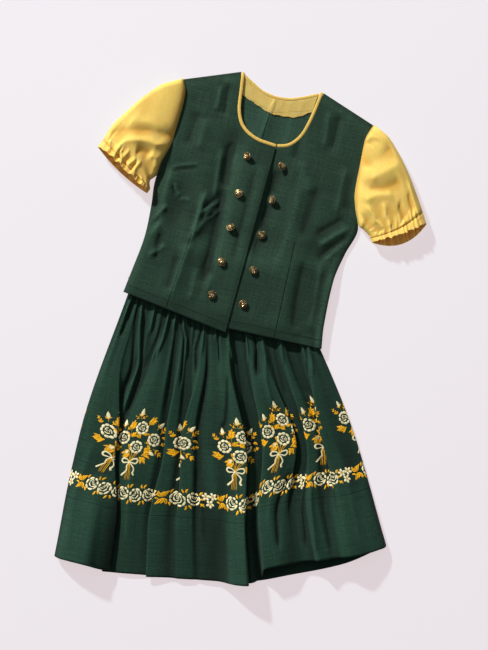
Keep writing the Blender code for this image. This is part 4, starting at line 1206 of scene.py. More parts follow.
sleeve = {
    "gathers": 21, "around": 300, "rings": 70, "seamGap": 0.0016, "cuffWave": 0.0004,
    "edgeRound": 0.012, "dome": 0.5, "domeReach": 0.3, "shell": 0.0007, "across": 0.20, "down": 0.16,
    "elastic": 0.833, "pinch": 0.026, "pinchTop": 0.0030, "pinchUnder": 0.0016, "lowest": 0.0004,
    "pullFrom": 0.6, "gatherOver": 0.20, "puckers": 15, "puckerUnder": 0.9, "puckerMiddle": 0.0016,
    "foldEdge": 0.016, "foldUnder": 0.3, "frill": 1.1, "frillOver": 0.16, "girthShare": 2.05,
    "edgeCord": (0.0013, 0.0012), "edgeCordOut": 0.0009, "edgeCordTop": 0.004,
}
cuffSetBack = {"right": (-0.0065, -0.0060), "left": (0.0060, -0.0180)}
sleeveRightRings = table(
    "ring outerX outerY innerX innerY top low bow",
    ("seam", -112.4, 494, -168, 297, 9.5, 0.6, 12),
    ("cap", -151.5, 483.5, -175.5, 294.5, 28.5, 0.6, 2),
    ("puff", -189, 459, -179.5, 290, 35, 0.6, -9),
    ("upper arm", -223.5, 429, -180, 285, 41.5, 0.8, -12),
    ("above elastic", -256, 397, -179.5, 279, 41.5, 1.2, -11),
    ("elastic", -272, 371, -179, 274.5, 39.5, 2.4, -7),
    ("cuff edge", -282.6, 357, -185, 265, 40.5, 1.4, -6),
)

sleeveLeftRings = table(
    "ring outerX outerY innerX innerY top low bow",
    ("seam", 266.6, 402, 236, 198, 9.5, 0.6, -15),
    ("cap", 294, 379, 242.5, 195.5, 28, 0.6, -3),
    ("puff", 315, 346, 248, 191, 29, 0.6, 9),
    ("upper arm", 334, 308, 253, 186, 28, 0.8, 14),
    ("above elastic", 352, 262, 257, 181, 26.8, 1.2, 17),
    ("elastic", 364, 227, 260.5, 174.5, 27, 2.4, 19),
    ("cuff edge", 371, 203, 264, 167, 31, 1.4, 21),
)

# folds of the puff: across from its outer edge, and down to the cuff
sleeveFolds = {
    "right": (
        (3.2, 12, (30, 78), (54, 61), (76, 41), (112, 13)),
        (-4.2, 12, (2, 124), (30, 98), (82, 56), (114, 13), (122, 0)),
        (5.4, 8.5, (60, 102), (74, 86), (95, 66), (128, 30), (135, 13)),
        (-4, 10, (116, 76), (130, 56), (148, 38)),
        (4.2, 6, (148, 40), (159, 25), (184, 15)),
        (3, 5.5, (54, 144), (72, 97)),
        (3.4, 5.5, (82, 144), (101, 84)),
        (3.4, 5.5, (105, 144), (133, 76)),
        (3.6, 5.5, (135, 142), (150, 63)),
        (-2.6, 5, (68, 146), (86, 98)),
        (-2.8, 5, (94, 146), (116, 86)),
        (-2.8, 5, (120, 146), (141, 78)),
    ),
    "left": (
        (-6.4, 15, (5, 41), (48, 25), (88, 10)),
        (4.6, 10, (9, 63), (63, 41), (114, 15)),
        (-5, 12, (38, 76), (97, 48), (126, 15)),
        (4.2, 9, (84, 71), (122, 38), (150, 18)),
        (5, 6.5, (154, 20), (166, 66), (152, 112)),
        (-5, 8, (173, 13), (186, 50), (190, 84)),
        (4.8, 7, (15, 81), (21, 112), (16, 145)),
        (-4, 8, (36, 90), (36, 124)),
        (3.4, 8.5, (118, 56), (136, 79), (132, 110)),
        (-4, 9, (84, 84), (76, 118)),
        (3.4, 5, (34, 4), (17, 15)),
        (-3, 5, (40, 10), (18, 20)),
    ),
}


def armholeLine(rows, underarm, outward):
    line = trace(placesOf(rows), 60)[::-1]
    return line[line[:, 1] >= underarm] + (outward, 0)


def makePuckers(seed):
    # small folds from the cuff up past the elastic
    draw = np.random.default_rng(seed)
    down = sleeve["down"] / mm
    start = sleeve["elastic"] * down
    puckers = []
    for place in np.linspace(6, sleeve["across"] / mm - 6, sleeve["puckers"]):
        foot = place + draw.uniform(-6, 6)
        reach = draw.uniform(14, 50)
        lean = draw.uniform(-10, 10)
        puckers.append((draw.uniform(1.6, 5.6), draw.uniform(4.2, 7.2),
                        (foot, down + 12), (foot, start), (foot + lean, start - reach)))
    return puckers


def sleeveGrid(rings, armhole, toward, folds, side):
    count = sleeve["around"]
    angle = 2 * math.pi * np.arange(count) / count
    share = 0.5 - 0.5 * np.cos(angle)
    over = np.sin(angle)
    top = np.clip(over, 0, 1)
    under = np.clip(-over, 0, 1)
    seam = np.stack([np.interp(share, np.linspace(0, 1, len(armhole)), armhole[:, k]) for k in (0, 1)], 1)
    knots = np.linspace(0, 1, len(rings))
    puckers = makePuckers(5 if side > 0 else 9)
    grid, cloth = [], []
    for at in np.linspace(0, 1, sleeve["rings"]):
        ring = {name: float(spline(knots, column(rings, name), at)) for name in list(rings[0])[1:]}
        outer = np.array((ring["outerX"], ring["outerY"]))
        chord = np.array((ring["innerX"], ring["innerY"])) - outer
        length = np.linalg.norm(chord)
        aside = np.array((-chord[1], chord[0])) / length
        bow = ring["bow"] * 4 * share * (1 - share)
        flat = outer + share[:, None] * chord + bow[:, None] * aside
        start = smooth(1 - at * (len(rings) - 1))
        flat = seam * start + flat * (1 - start)
        body = (ring["top"] + ring["low"]) / 2
        half = (ring["top"] - ring["low"]) / 2
        edge = np.minimum(share, 1 - share) * length
        dome = 1 - sleeve["dome"] * smooth(at / sleeve["domeReach"]) * (1 - np.sin(math.pi * share))
        up = body + half * np.sign(over) * quarterRound(edge, sleeve["edgeRound"]) * dome
        pull = smooth((at - sleeve["pullFrom"]) / (1 - sleeve["pullFrom"]))
        flat = flat - np.outer(pull * top ** 1.5, toward)
        near = smooth((at - sleeve["pullFrom"]) / sleeve["gatherOver"])
        wave = np.cos(sleeve["gathers"] * angle) * sleeve["cuffWave"] * near
        pinch = np.exp(-(((at - sleeve["elastic"]) / sleeve["pinch"]) ** 2))
        up = up + wave * top - sleeve["pinchTop"] * pinch * top ** 0.5
        up = up + sleeve["pinchUnder"] * pinch * under ** 0.5
        down = np.full(count, at * sleeve["down"])
        relief, gathered = (creaseRelief(share * sleeve["across"], down, rows) for rows in (folds, puckers))
        soft = smooth(edge / sleeve["foldEdge"])
        up = up + (relief + gathered) * top ** 0.5 * soft - sleeve["foldUnder"] * relief * under ** 0.5 * soft
        up = up + sleeve["puckerUnder"] * gathered * near * under ** 0.5 * soft
        flat = flat + np.outer(wave * (1 - np.abs(over)), chord / length)
        frill = smooth((at - sleeve["elastic"]) / sleeve["frillOver"]) * (gathered - sleeve["puckerMiddle"])
        flat = flat + np.outer(frill * sleeve["frill"] * top, aside)
        grid.append(np.concatenate([flat, np.maximum(up, sleeve["lowest"])[:, None]], 1))
        turn = np.concatenate([[0], np.cumsum(np.full(count - 1, sleeve["girthShare"] * length / count))])
        cloth.append(np.stack([turn, down], 1))
    return np.array(grid), np.array(cloth)


def makeSleeves():
    grids = {}
    material = clothMaterial("sleeveCotton", cottonLook, [((-1000, 133.3), (2000, 133.3), 1.2, 0.35)])
    sides = (
        ("right", outlineRight, "underarmRight", -1, sleeveRightRings, "sleeve_right"),
        ("left", outlineLeft, "underarmLeft", 1, sleeveLeftRings, "sleeve_left"),
    )
    for side, outline, underarm, outward, rings, node in sides:
        line = armholeLine(outline, bodice[underarm], outward * sleeve["seamGap"])
        armhole = trace(np.stack(toWorld(line[:, 0], line[:, 1]), 1), 60)
        grid, cloth = sleeveGrid(rings, armhole, cuffSetBack[side], sleeveFolds[side], outward)
        if side == "left":
            grid, cloth = grid[:, ::-1], cloth[:, ::-1]
        name = "sleeve" + side.capitalize()
        piece = clothShell(name, grid, cloth, material, sleeve["shell"], True, 6)
        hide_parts(node)
        grids[side] = grid
        line = armholeLine(outline, bodice[underarm] + sleeve["edgeCordTop"], outward * sleeve["edgeCordOut"])
        path = trace(raised(line, frontHeight), 110)
        makeCord("armholeEdge" + side.capitalize(), path, *sleeve["edgeCord"], sides=10, pucker=0.08)
    return grids


sleeveGrids = makeSleeves()
print("sleeves ready")

# embroidery: padded satin stitch laid on the skirt's own cloth

embroidery = {
    "height": 0.00034, "aboveCloth": 0.00004, "fromEdge": 0.0015,
    "repeat": 0.140, "firstAxis": 0.080, "topBud": 0.329, "garland": 0.160,
    "splitFrom": 3.4 * mm, "lobedFrom": 13 * mm,  # wider leaves have two halves, longer ones three lobes
}


def makeClothMap(points, cloth, shell, side, tallest=0.36, step=0.0015):
    # positions and normals of the cloth on an even grid of its own coordinates
    normals = gridNormals(points) * side
    low, high = cloth[:, :, 0].min(), cloth[:, :, 0].max()
    along = np.linspace(low, high, int((high - low) / step) + 1)
    up = np.linspace(0, tallest, int(tallest / step) + 1)
    order = 1 if cloth[0, -1, 0] > cloth[0, 0, 0] else -1
    fields = np.concatenate([points, normals, cloth[:, :, 1:2]], 2)[:, ::order]
    places = cloth[:, ::order, 0]
    rows = np.array([
        [np.interp(along, places[j], fields[j, :, k]) for k in range(7)] for j in range(len(fields))
    ])
    even = np.zeros((len(up), len(along), 6))
    for i in range(len(along)):
        for k in range(6):
            even[:, i, k] = np.interp(up, rows[:, 6, i], rows[:, k, i])
    even[:, :, 3:] = unit(even[:, :, 3:])
    return {"low": low, "step": along[1] - along[0], "upStep": up[1], "even": even,
            "lift": shell / 2 + embroidery["aboveCloth"], "side": side}


def layOn(clothMap, places, heights):
    even = clothMap["even"]
    a = np.clip((places[:, 0] - clothMap["low"]) / clothMap["step"], 0, even.shape[1] - 1.001)
    b = np.clip(places[:, 1] / clothMap["upStep"], 0, even.shape[0] - 1.001)
    i, j = a.astype(int), b.astype(int)
    u, v = (a - i)[:, None], (b - j)[:, None]
    found = (
        even[j, i] * (1 - u) * (1 - v) + even[j, i + 1] * u * (1 - v)
        + even[j + 1, i] * (1 - u) * v + even[j + 1, i + 1] * u * v
    )
    return found[:, :3] + found[:, 3:] * (heights + clothMap["lift"])[:, None]


profileAcross = np.array([-1.0, -0.72, 0.0, 0.72, 1.0])
profileUp = np.array([0.0, 0.72, 1.0, 0.72, 0.0])


def padMesh(path, widths, height):
    # one raised pad of satin stitch: its centre line, its width along it and its height
    path = np.asarray(path, float)
    widths = np.asarray(widths)
    across = widths[:, None] / 2 * profileAcross[None]
    places = path[:, None] + leftOf(path)[:, None] * across[:, :, None]
    full = np.clip(widths / max(widths), 0.25, 1) ** 0.5
    heights = height * full[:, None] * profileUp[None]
    uv = np.stack(np.broadcast_arrays(lengths(path)[:, None], across), 2)
    return places.reshape(-1, 2), heights.ravel(), uv.reshape(-1, 2)


class Threads:
    # gathers the pads of one thread colour that lie on the cloth, then makes them one mesh
    def __init__(self, low, high):
        self.low = low + embroidery["fromEdge"]
        self.high = high - embroidery["fromEdge"]
        self.count = 0
        self.places, self.heights, self.uv, self.tone, self.faces = [], [], [], [], []

    def add(self, path, widths, rise=1.0, tone=0.0):
        places, heights, uv = padMesh(path, widths, embroidery["height"] * rise)
        if not self.low < places[:, 0].mean() < self.high:
            return
        ring = len(profileAcross)
        start, end = self.count, self.count + len(heights)
        self.faces += gridFaces(len(path), ring, True, start, True)
        self.faces += [tuple(range(start, start + ring)), tuple(range(end - 1, end - ring - 1, -1))]
        self.places.append(places)
        self.heights.append(heights)
        self.uv.append(uv)
        self.tone.append(np.full(len(heights), tone))
        self.count = end

    def build(self, name, clothMap, material):
        vertices = layOn(clothMap, np.concatenate(self.places), np.concatenate(self.heights))
        faces = [face[::clothMap["side"]] for face in map(tuple, self.faces)]
        uv, tone = np.concatenate(self.uv), np.concatenate(self.tone)
        return newPiece(name, vertices, faces, material, uv, "stitch", tone)


chance = np.random.default_rng(11)


def turned(points, angle, at=(0.0, 0.0)):
    c, s = math.cos(angle), math.sin(angle)
    points = np.asarray(points, float)
    return np.stack([points[:, 0] * c - points[:, 1] * s, points[:, 0] * s + points[:, 1] * c], 1) + at


def roundEnds(count, width, tip=0.35, power=0.5):
    u = np.linspace(0, 1, count)
    return width * np.maximum(np.sin(math.pi * (0.06 + 0.88 * u)) ** power, tip)


def leafEnds(count, width):
    u = np.linspace(0, 1, count)
    return width * np.maximum(np.sin(math.pi * u ** 0.85) ** 0.8, 0.10)


def addArc(sink, at, radius, start, end, width, count, tone, drift=0.0, tip=0.4):
    angle = np.linspace(start, end, count)
    reach = radius * (1 - drift * np.linspace(0, 1, count))
    path = np.stack([np.cos(angle), np.sin(angle)], 1) * reach[:, None] + at
    sink["cream"].add(path, roundEnds(count, width, tip), tone=tone)


def addRose(sink, at, radius, spin):
    # a scalloped rim, a line of bare cloth, curled inner petals and a small heart
    petals = 9
    part = 2 * math.pi / petals
    for k in range(petals):
        centre = spin + part * (k + 0.08 * chance.standard_normal())
        reach = radius * (0.80 + 0.02 * chance.standard_normal())
        addArc(sink, at, reach, centre - part * 0.48, centre + part * 0.48, radius * 0.39, 7,
               chance.uniform(-0.4, 0.6), tip=0.45)
    for k in range(3):
        start = spin + 0.4 + 2 * math.pi * k / 3
        addArc(sink, at, radius * 0.42, start, start + 1.8, radius * 0.17, 9, chance.uniform(-0.3, 0.3), 0.24)
    for k in range(2):
        start = spin + 1.1 + math.pi * k
        addArc(sink, at, radius * 0.17, start, start + 2.1, radius * 0.12, 7, -0.1, 0.2)
    heart = np.array([(-0.03, 0), (0, 0.01), (0.03, 0)]) * radius + at
    sink["cream"].add(heart, np.full(3, radius * 0.06), tone=-0.3)


def addOpenRose(sink, at, radius, spin):
    # a half-open rose: rows of petals that all curl round one side of its heart
    heart = turned([(radius * 0.34, 0)], spin)[0]
    rows = ((0.82, 0.30, 2.35, 5), (0.53, 0.20, 2.1, 3), (0.29, 0.15, 2.0, 2))
    for row, (reach, width, half, petals) in enumerate(rows):
        part = 2 * half / petals
        for k in range(petals):
            start = spin + math.pi - half + part * k
            addArc(sink, at + heart * row / 2, radius * reach, start + part * 0.04, start + part * 0.96,
                   radius * width, 7, chance.uniform(-0.4, 0.5), tip=0.45)
    for side in (-1, 1):
        angle = spin + side * 0.36
        addArc(sink, at, radius * 0.80, angle - 0.30, angle + 0.30, radius * 0.32, 6, 0.2, tip=0.45)
    addArc(sink, at + heart, radius * 0.10, spin + 1.6, spin + 4.6, radius * 0.11, 6, -0.2)


def addLeaf(sink, root, angle, length, width, split=True):
    path = turned(trace(np.array([(0, 0), (0.5, 0.12), (1, 0)]) * length, 8), angle, root)
    tone = chance.uniform(-0.6, 0.6)
    if split and width > embroidery["splitFrom"]:
        half = leafEnds(8, width) / 2
        for side in (-1, 1):
            line = path + leftOf(path) * (half * 0.56 * side)[:, None]
            sink["orange"].add(line, np.maximum(half * 0.92, 0.0004), tone=tone + side * 0.25 + 0.05)
    else:
        sink["orange"].add(path, leafEnds(8, width), tone=tone)


def addLobedLeaf(sink, root, angle, length, width):
    addLeaf(sink, root, angle, length, width * 0.62)
    for side in (-1, 1):
        foot = turned([(length * 0.22, side * width * 0.10)], angle, root)[0]
        addLeaf(sink, foot, angle + side * 0.62, length * 0.55, width * 0.44, False)


def addStem(sink, points, width, count):
    sink["orange"].add(trace(points, count), np.full(count, width), 0.8, chance.uniform(-0.8, 0.1))


def addSprig(sink, root, angle, length, pairs):
    tip = turned([(0, 0), (length * 0.5, length * 0.06), (length, 0)], angle, root)
    addStem(sink, tip, 0.8 * mm, 8)
    for k in range(pairs):
        share = 0.35 + 0.45 * k / max(pairs - 1, 1)
        foot = tip[0] * (1 - share) + tip[2] * share
        for side in (-1, 1):
            addLeaf(sink, foot, angle + side * 0.75, length * 0.46, length * 0.19, False)
    addLeaf(sink, tip[2] * 0.92 + tip[0] * 0.08, angle, length * 0.45, length * 0.20, False)


def addBud(sink, at, angle, size):
    # a closed cream bud in two orange sepals
    for side in (-1, 1, 0):
        reach = 1.45 if side == 0 else 1.25
        shape = np.array([(-0.05, 0), (0.42, side * 0.21), (reach, side * 0.09)]) * size
        width = size * (0.34 if side else 0.20)
        sink["cream"].add(turned(trace(shape, 8), angle, at), leafEnds(8, width), tone=side * 0.4 + 0.1)
    for side in (-1, 1):
        root = turned([(-0.10 * size, 0)], angle, at)[0]
        addLeaf(sink, root, angle + side * 0.95, size * 0.80, size * 0.26, False)
    stalk = [(-0.65 * size, 0), (-0.3 * size, 0.04 * size), (0, 0)]
    addStem(sink, turned(stalk, angle, at), 0.8 * mm, 6)


ribbonLoops = (
    [(0, 0), (-6, 6.0), (-13, 7.5), (-16, 3.0), (-12, -1.5), (-5, -0.5), (0, 0)],
    [(0, 0), (6, 6.5), (13, 8.0), (16.5, 3.5), (12, -2.0), (5, -0.5), (0, 0)],
)
ribbonTails = (
    [(-1, -1), (-5, -8), (-4, -15), (-9, -22), (-15, -28)],
    [(1, -1), (7, -7), (11, -14), (9.5, -21), (13, -26)],
)


def addBow(sink, at):
    # a tied ribbon: two loops, two hanging ends and a knot
    for shapes, count, lightest in ((ribbonLoops, 22, 0.3), (ribbonTails, 14, 0.2)):
        u = np.linspace(0, 1, count)
        widths = 2.0 + 1.6 * np.sin(math.pi * u) ** 2 if shapes is ribbonLoops else 1.9 + 2.2 * u
        for shape in shapes:
            path = trace(np.array(shape) * mm, count) + at
            sink["cream"].add(path, widths * mm, tone=chance.uniform(-0.2, lightest))
    knot = np.array([(-1.9, 0), (0, 0.2), (1.9, 0)]) * mm + at
    sink["cream"].add(knot, np.full(3, 4.2 * mm), 1.3, 0.2)


# one posy: each part's place from its axis and below its highest bud
posyRoses = table(
    "across down radius spin",
    (11, -36, 13.6, 0.2), (-24, -58, 13.8, 1.1), (38, -58, 13.6, 2.0), (4, -75, 13.8, 0.7),
)
posyBuds = table(
    "across down angle size",
    (4, -11, 1.57, 11), (-26, -34, 1.75, 10), (47, -33, 0.8, 10.5), (30, -83, -0.5, 9.5), (-12, -82, -2.1, 9),
)
posySprigs = table(
    "across down angle length pairs",
    (1, -18, 2.6, 10, 1), (5, -18, 0.5, 10, 1), (-10, -46, 1.45, 19, 3), (22, -34, 0.9, 20, 3),
    (50, -46, 0.75, 15, 2), (50, -68, 0.2, 12, 2), (38, -76, -0.7, 17, 2), (-36, -46, 2.3, 12, 2),
    (-20, -44, 0.9, 12, 2), (22, -50, 0.2, 9, 1), (-2, -52, 3.0, 12, 2), (20, -66, 0.1, 9, 1),
)
posyLeaves = table(
    "across down angle length width",
    (-36, -70, 3.7, 15, 8.0), (-26, -76, 3.3, 20, 9.5), (-16, -82, 4.3, 15, 8.5), (-8, -88, 3.7, 15, 8.0),
    (16, -92, 0.25, 24, 10.5), (12, -95, -0.75, 19, 9.5), (20, -84, 0.7, 14, 7.5), (-6, -56, 0.9, 14, 8.0),
    (12, -57, 2.2, 14, 8.0), (24, -46, 3.4, 10, 5.0), (26, -70, -1.2, 11, 5.2), (-12, -70, 5.0, 10, 4.6),
    (-34, -42, 3.3, 11, 5.0), (54, -52, -0.5, 11, 4.8),
)


def addAll(sink, make, rows, origin, *others):
    # makes one at each row's place, with the rest of the row
    for row in rows:
        x, y, *own = row.values()
        make(sink, origin + (x, y), *own, *others)


def addPosyLeaf(sink, at, angle, length, width):
    make = addLobedLeaf if length > embroidery["lobedFrom"] else addLeaf
    make(sink, at, angle, length, width)


def addPosy(sink, axis, topBud):
    origin = np.array([axis, topBud])
    addAll(sink, addRose, posyRoses, origin)
    addAll(sink, addBud, posyBuds, origin)
    addAll(sink, addSprig, posySprigs, origin)
    addAll(sink, addPosyLeaf, posyLeaves, origin)
    knot = origin + np.array([-5, -106]) * mm
    for spread, end in ((-7, -6), (-1, -3), (6, 1), (12, 4)):
        path = [(spread + 3, 20), (spread * 0.3 + 1, 8), (0.12 * spread, 0), (end * 0.8, -16), (end, -36)]
        addStem(sink, np.array(path) * mm + knot, 1.15 * mm, 14)
    addBow(sink, knot)


def addDaisy(sink, at, spin):
    size = 8.4 * mm
    for k in range(5):
        petal = trace(np.array([(0.22, 0), (0.6, 0.02), (1.0, 0)]) * size, 6)
        path = turned(petal, spin + 2 * math.pi * k / 5, at)
        sink["cream"].add(path, roundEnds(6, size * 0.62, 0.4, 0.6), tone=chance.uniform(-0.1, 0.5))
    dot = np.array([(-0.16, 0), (0, 0), (0.16, 0)]) * size + at
    sink["orange"].add(dot, np.array([0.22, 0.36, 0.22]) * size, 1.4, -0.2)


# one repeat of the border: each part's place from its axis and above its middle line
borderRoses = table(
    "across up radius spin", (-10, 0.5, 14.4, 0.7), (19, -2.0, 14.8, 2.5), (48, 0.5, 14.2, 1.3),
)
clusterLeaves = table("across up angle length width", (0, 1, 1.57, 12, 4.6), (0, -1, -1.57, 12, 4.6))
borderLeaves = table(
    "across up angle length",
    (3, 11, 1.9, 9), (6, 12, 1.0, 10), (4, -12, -1.9, 10), (7, -11, -0.9, 9), (32, 12, 2.0, 9),
    (35, 12, 1.1, 10), (32, -13, -2.0, 10), (36, -12, -1.0, 9), (60, 8, 0.7, 11), (60, -8, -0.6, 11),
    (-23, 9, 1.2, 9), (-23, -9, -1.1, 9), (61, 0, 0.0, 8),
)
borderDaisies = table("across up spin", (73, 7, 0.3), (80, -7, 1.0), (87, 8, 0.7))
endLeaves = table("across up angle", (94, -1, -0.4), (94, 4, 0.5), (68, -8, 3.6))


def addGarland(sink, axis, level):
    # a leaf cluster, three roses and three small daisies
    origin = np.array([axis, level])
    addAll(sink, addOpenRose, borderRoses, origin)
    cluster = origin + np.array([-34, 0]) * mm
    for angle in (1.05, 2.15, 4.15, 5.25):
        addLeaf(sink, cluster + turned([(2.2 * mm, 0)], angle)[0], angle, 14 * mm, 6.2 * mm)
    addAll(sink, addLeaf, clusterLeaves, cluster)
    addAll(sink, addLeaf, borderLeaves, origin, 4.2 * mm, False)
    addAll(sink, addDaisy, borderDaisies, origin)
    addAll(sink, addLeaf, endLeaves, origin, 9 * mm, 3.6 * mm, False)


def embroider(side, clothMap, low, high):
    sink = {"cream": Threads(low, high), "orange": Threads(low, high)}
    repeat = embroidery["repeat"]
    for k in range(-1, 14):
        axis = embroidery["firstAxis"] + repeat * k
        if low - repeat < axis < high + repeat:
            addGarland(sink, axis, embroidery["garland"])
            addPosy(sink, axis, embroidery["topBud"])
    for colour, material in (("cream", creamThread), ("orange", orangeThread)):
        piece = sink[colour].build(f"{colour}Embroidery{side}", clothMap, material)
        print(piece.name, "triangles", triangles(piece))


frontMap = makeClothMap(skirtPoints, skirtCloth, skirt["shell"], 1)
embroider("Front", frontMap, 0.0, skirt["cloth"])
backMap = makeClothMap(backPoints, backCloth, skirt["backShell"], -1)
embroider("Back", backMap, skirt["cloth"], skirt["fullCloth"])
print("embroidery ready")

# antique brass buttons

button = {
    "radius": 0.0086, "plate": 0.0012, "plateEdge": 0.0004, "domeRadius": 0.0071, "domeHeight": 0.0039,
    "rimWire": 0.0004, "rimBeads": 24, "rimBeadAt": 0.0078, "beadRadius": 0.00062,
    "petals": 7, "petalAt": 0.0043, "petalRadius": 0.00165, "petalWire": 0.00042, "petalBead": 0.0007,
    "outerBeadAt": 0.0061, "outerBead": 0.00055, "eyeRadius": 0.0017, "eyeHeight": 0.35, "eyeWire": 0.0003,
    "shankRadius": 0.0022, "shankHeight": 0.0026, "shankEdge": 0.0002, "overlap": 0.0001,
}


def brassMaterial():
    material, tree, shader = newMaterial("antiqueBrass")
    stain = noiseNode(tree, objectPlace(tree), 700.0)
    worn = mathNode(tree, "MULTIPLY_ADD", stain, 0.8, pieceTone(tree, "raised"))
    bump = addNode(tree, "ShaderNodeBump", {"Strength": 0.25, "Distance": 0.0001, "Height": stain})
    fill(tree, shader, {
        "Base Color": shade(tree, plainColour(tree, (0.40, 0.30, 0.155)), aroundZero(tree, worn, 0.85), 1.5),
        "Roughness": mathNode(tree, "MULTIPLY_ADD", worn, -0.12, 0.42),
        "Metallic": 1.0, "Normal": bump.outputs[0],
    })
    return material


def finishPart(raised, bevel=0.0):
    # rounds the part's hard edges, sets its place in its mesh and marks how worn it is
    part = bpy.context.object
    if bevel:
        edge = part.modifiers.new("edge", "BEVEL")
        edge.width = bevel
        edge.segments = 3
        edge.limit_method = "ANGLE"
        bpy.ops.object.modifier_apply(modifier="edge")
    bpy.ops.object.transform_apply(location=True, rotation=True, scale=True)
    level = part.data.attributes.new("raised", "FLOAT", "POINT")
    level.data.foreach_set("value", np.full(len(part.data.vertices), raised, np.float32))
    return part


def domeHeightAt(reach):
    return button["shankHeight"] + button["plate"] + button["domeHeight"] * math.sqrt(1 - reach ** 2)


def addDisc(vertices, radius, low, depth, raised, bevel):
    bpy.ops.mesh.primitive_cylinder_add(
        vertices=vertices, radius=radius, depth=depth, location=(0, 0, low + depth / 2))
    return finishPart(raised, bevel)


def addDome(segments, scale, up, raised):
    bpy.ops.mesh.primitive_uv_sphere_add(
        segments=segments, ring_count=segments // 2, radius=1, location=(0, 0, up))
    bpy.context.object.scale = scale
    return finishPart(raised)


def addRing(segments, radius, wire, place, raised, turn=(0, 0, 0)):
    bpy.ops.mesh.primitive_torus_add(
        major_segments=segments[0], minor_segments=segments[1], major_radius=radius, minor_radius=wire,
        location=place, rotation=turn)
    return finishPart(raised)


def around(count, reach, up, start=0.0):
    for k in range(count):
        angle = start + 2 * math.pi * k / count
        yield angle, (reach * math.cos(angle), reach * math.sin(angle), up)


def addBeads(count, reach, size, up, start=0.0):
    parts = []
    for angle, place in around(count, reach, up, start):
        bpy.ops.mesh.primitive_ico_sphere_add(subdivisions=2, radius=size, location=place)
        parts.append(finishPart(0.95))
    return parts


def makeButtonForm():
    bpy.ops.object.select_all(action="DESELECT")
    shank, plate, wide, overlap = (button[name] for name in ("shankHeight", "plate", "domeRadius", "overlap"))
    top = shank + plate
    parts = [
        addDisc(28, button["shankRadius"], 0, shank, 0.2, button["shankEdge"]),
        addDisc(56, button["radius"], shank, plate, 0.0, button["plateEdge"]),
        addDome(48, (wide, wide, button["domeHeight"]), top, -0.35),
    ]
    dome = parts[-1]
    bpy.ops.object.mode_set(mode="EDIT")
    bpy.ops.mesh.select_all(action="SELECT")
    bpy.ops.mesh.bisect(
        plane_co=(0, 0, top - 2 * overlap), plane_no=(0, 0, 1), clear_inner=True, use_fill=True)
    bpy.ops.object.mode_set(mode="OBJECT")
    parts.append(addRing((56, 8), wide, button["rimWire"], (0, 0, top + overlap), 0.8))
    parts += addBeads(button["rimBeads"], button["rimBeadAt"], button["beadRadius"], top + overlap)
    petals = button["petals"]
    reach = button["petalAt"] / wide
    up = domeHeightAt(reach)
    slope = math.atan2(reach * button["domeHeight"], wide * math.sqrt(1 - reach ** 2))
    for angle, place in around(petals, button["petalAt"], up):
        turn = (0, slope, angle)
        parts.append(addRing((18, 6), button["petalRadius"], button["petalWire"], place, 0.9, turn))
    parts += addBeads(petals, button["petalAt"], button["petalBead"], up)
    outer = button["outerBeadAt"]
    parts += addBeads(petals, outer, button["outerBead"], domeHeightAt(outer / wide), math.pi / petals)
    eye = button["eyeRadius"]
    crown = domeHeightAt(0.0)
    parts.append(addDome(24, (eye, eye, eye * button["eyeHeight"]), crown, 1.0))
    parts.append(addRing((28, 6), eye * 1.25, button["eyeWire"], (0, 0, crown - overlap), 0.8))
    bpy.ops.object.select_all(action="DESELECT")
    for part in parts:
        part.select_set(True)
    bpy.context.view_layer.objects.active = dome
    bpy.ops.object.join()
    bpy.ops.object.shade_smooth_by_angle(angle=math.radians(35))
    return dome


def makeButtons():
    form = makeButtonForm()
    form.data.materials.append(brassMaterial())
    for number, row in enumerate(buttons, 1):
        place = np.array([row["across"], row["along"]])
        x, y, height = raised(place, rightFrontHeight if row["across"] < bodice["lapEdge"] else frontHeight)
        lean = math.radians(row["lean"])
        tuck = button["shankHeight"] * math.cos(lean)  # the rim of a leaning button rests on the cloth
        rise = max(button["shankRadius"] * math.sin(lean), button["radius"] * math.sin(lean) - tuck)
        up = height + bodice["wall"] / 2 + rise
        turn = Euler((0, lean, math.radians(row["leanTo"]))).to_matrix().to_4x4()
        mesh = form.data.copy()
        mesh.transform(Matrix.Translation(Vector(shift) + Vector((x, y, up))) @ turn)
        piece = bpy.data.objects.new(f"button{number:02d}", mesh)
        bpy.context.scene.collection.objects.link(piece)
        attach(piece, "root")
        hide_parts(f"button_{number:02d}")
    print("button triangles", triangles(form))
    bpy.data.objects.remove(form, do_unlink=True)


makeButtons()
print("buttons ready")

# machine stitching

stitch = {
    "pitch": 0.0030, "share": 0.72, "thick": 0.00022, "stations": 6, "proud": 0.0001,
    "cuffPitch": 0.0028, "cuffProud": 0.0004, "hemPitch": 0.0090, "hemShare": 0.3, "hemThick": 0.0002,
}


def stitchRow(name, path, material, pitch=stitch["pitch"], share=stitch["share"], half=stitch["thick"]):
    # short raised stitches along a line, each dipping into the cloth at its ends
    count = stitch["stations"]
    steps = trace(path, int(lengths(path)[-1] / pitch) * count + 1)
    reach = max(3, round(count * share))
    arch = np.outer(np.sin(np.linspace(0, math.pi, reach + 1)) * half, (0, 0, 1))
    vertices, faces, uv = [], [], []
    start = 0
    for k in range(0, len(steps) - count, count):
        some, corners, places = cordMesh(steps[k:k + reach + 1] + arch, half, half * 0.8, sides=6)
        vertices.append(some)
        faces += [tuple(start + corner for corner in face) for face in corners]
        uv.append(places)
        start += len(some)
    newPiece(name, np.concatenate(vertices), faces, material, np.concatenate(uv), "stitch", np.zeros(start))


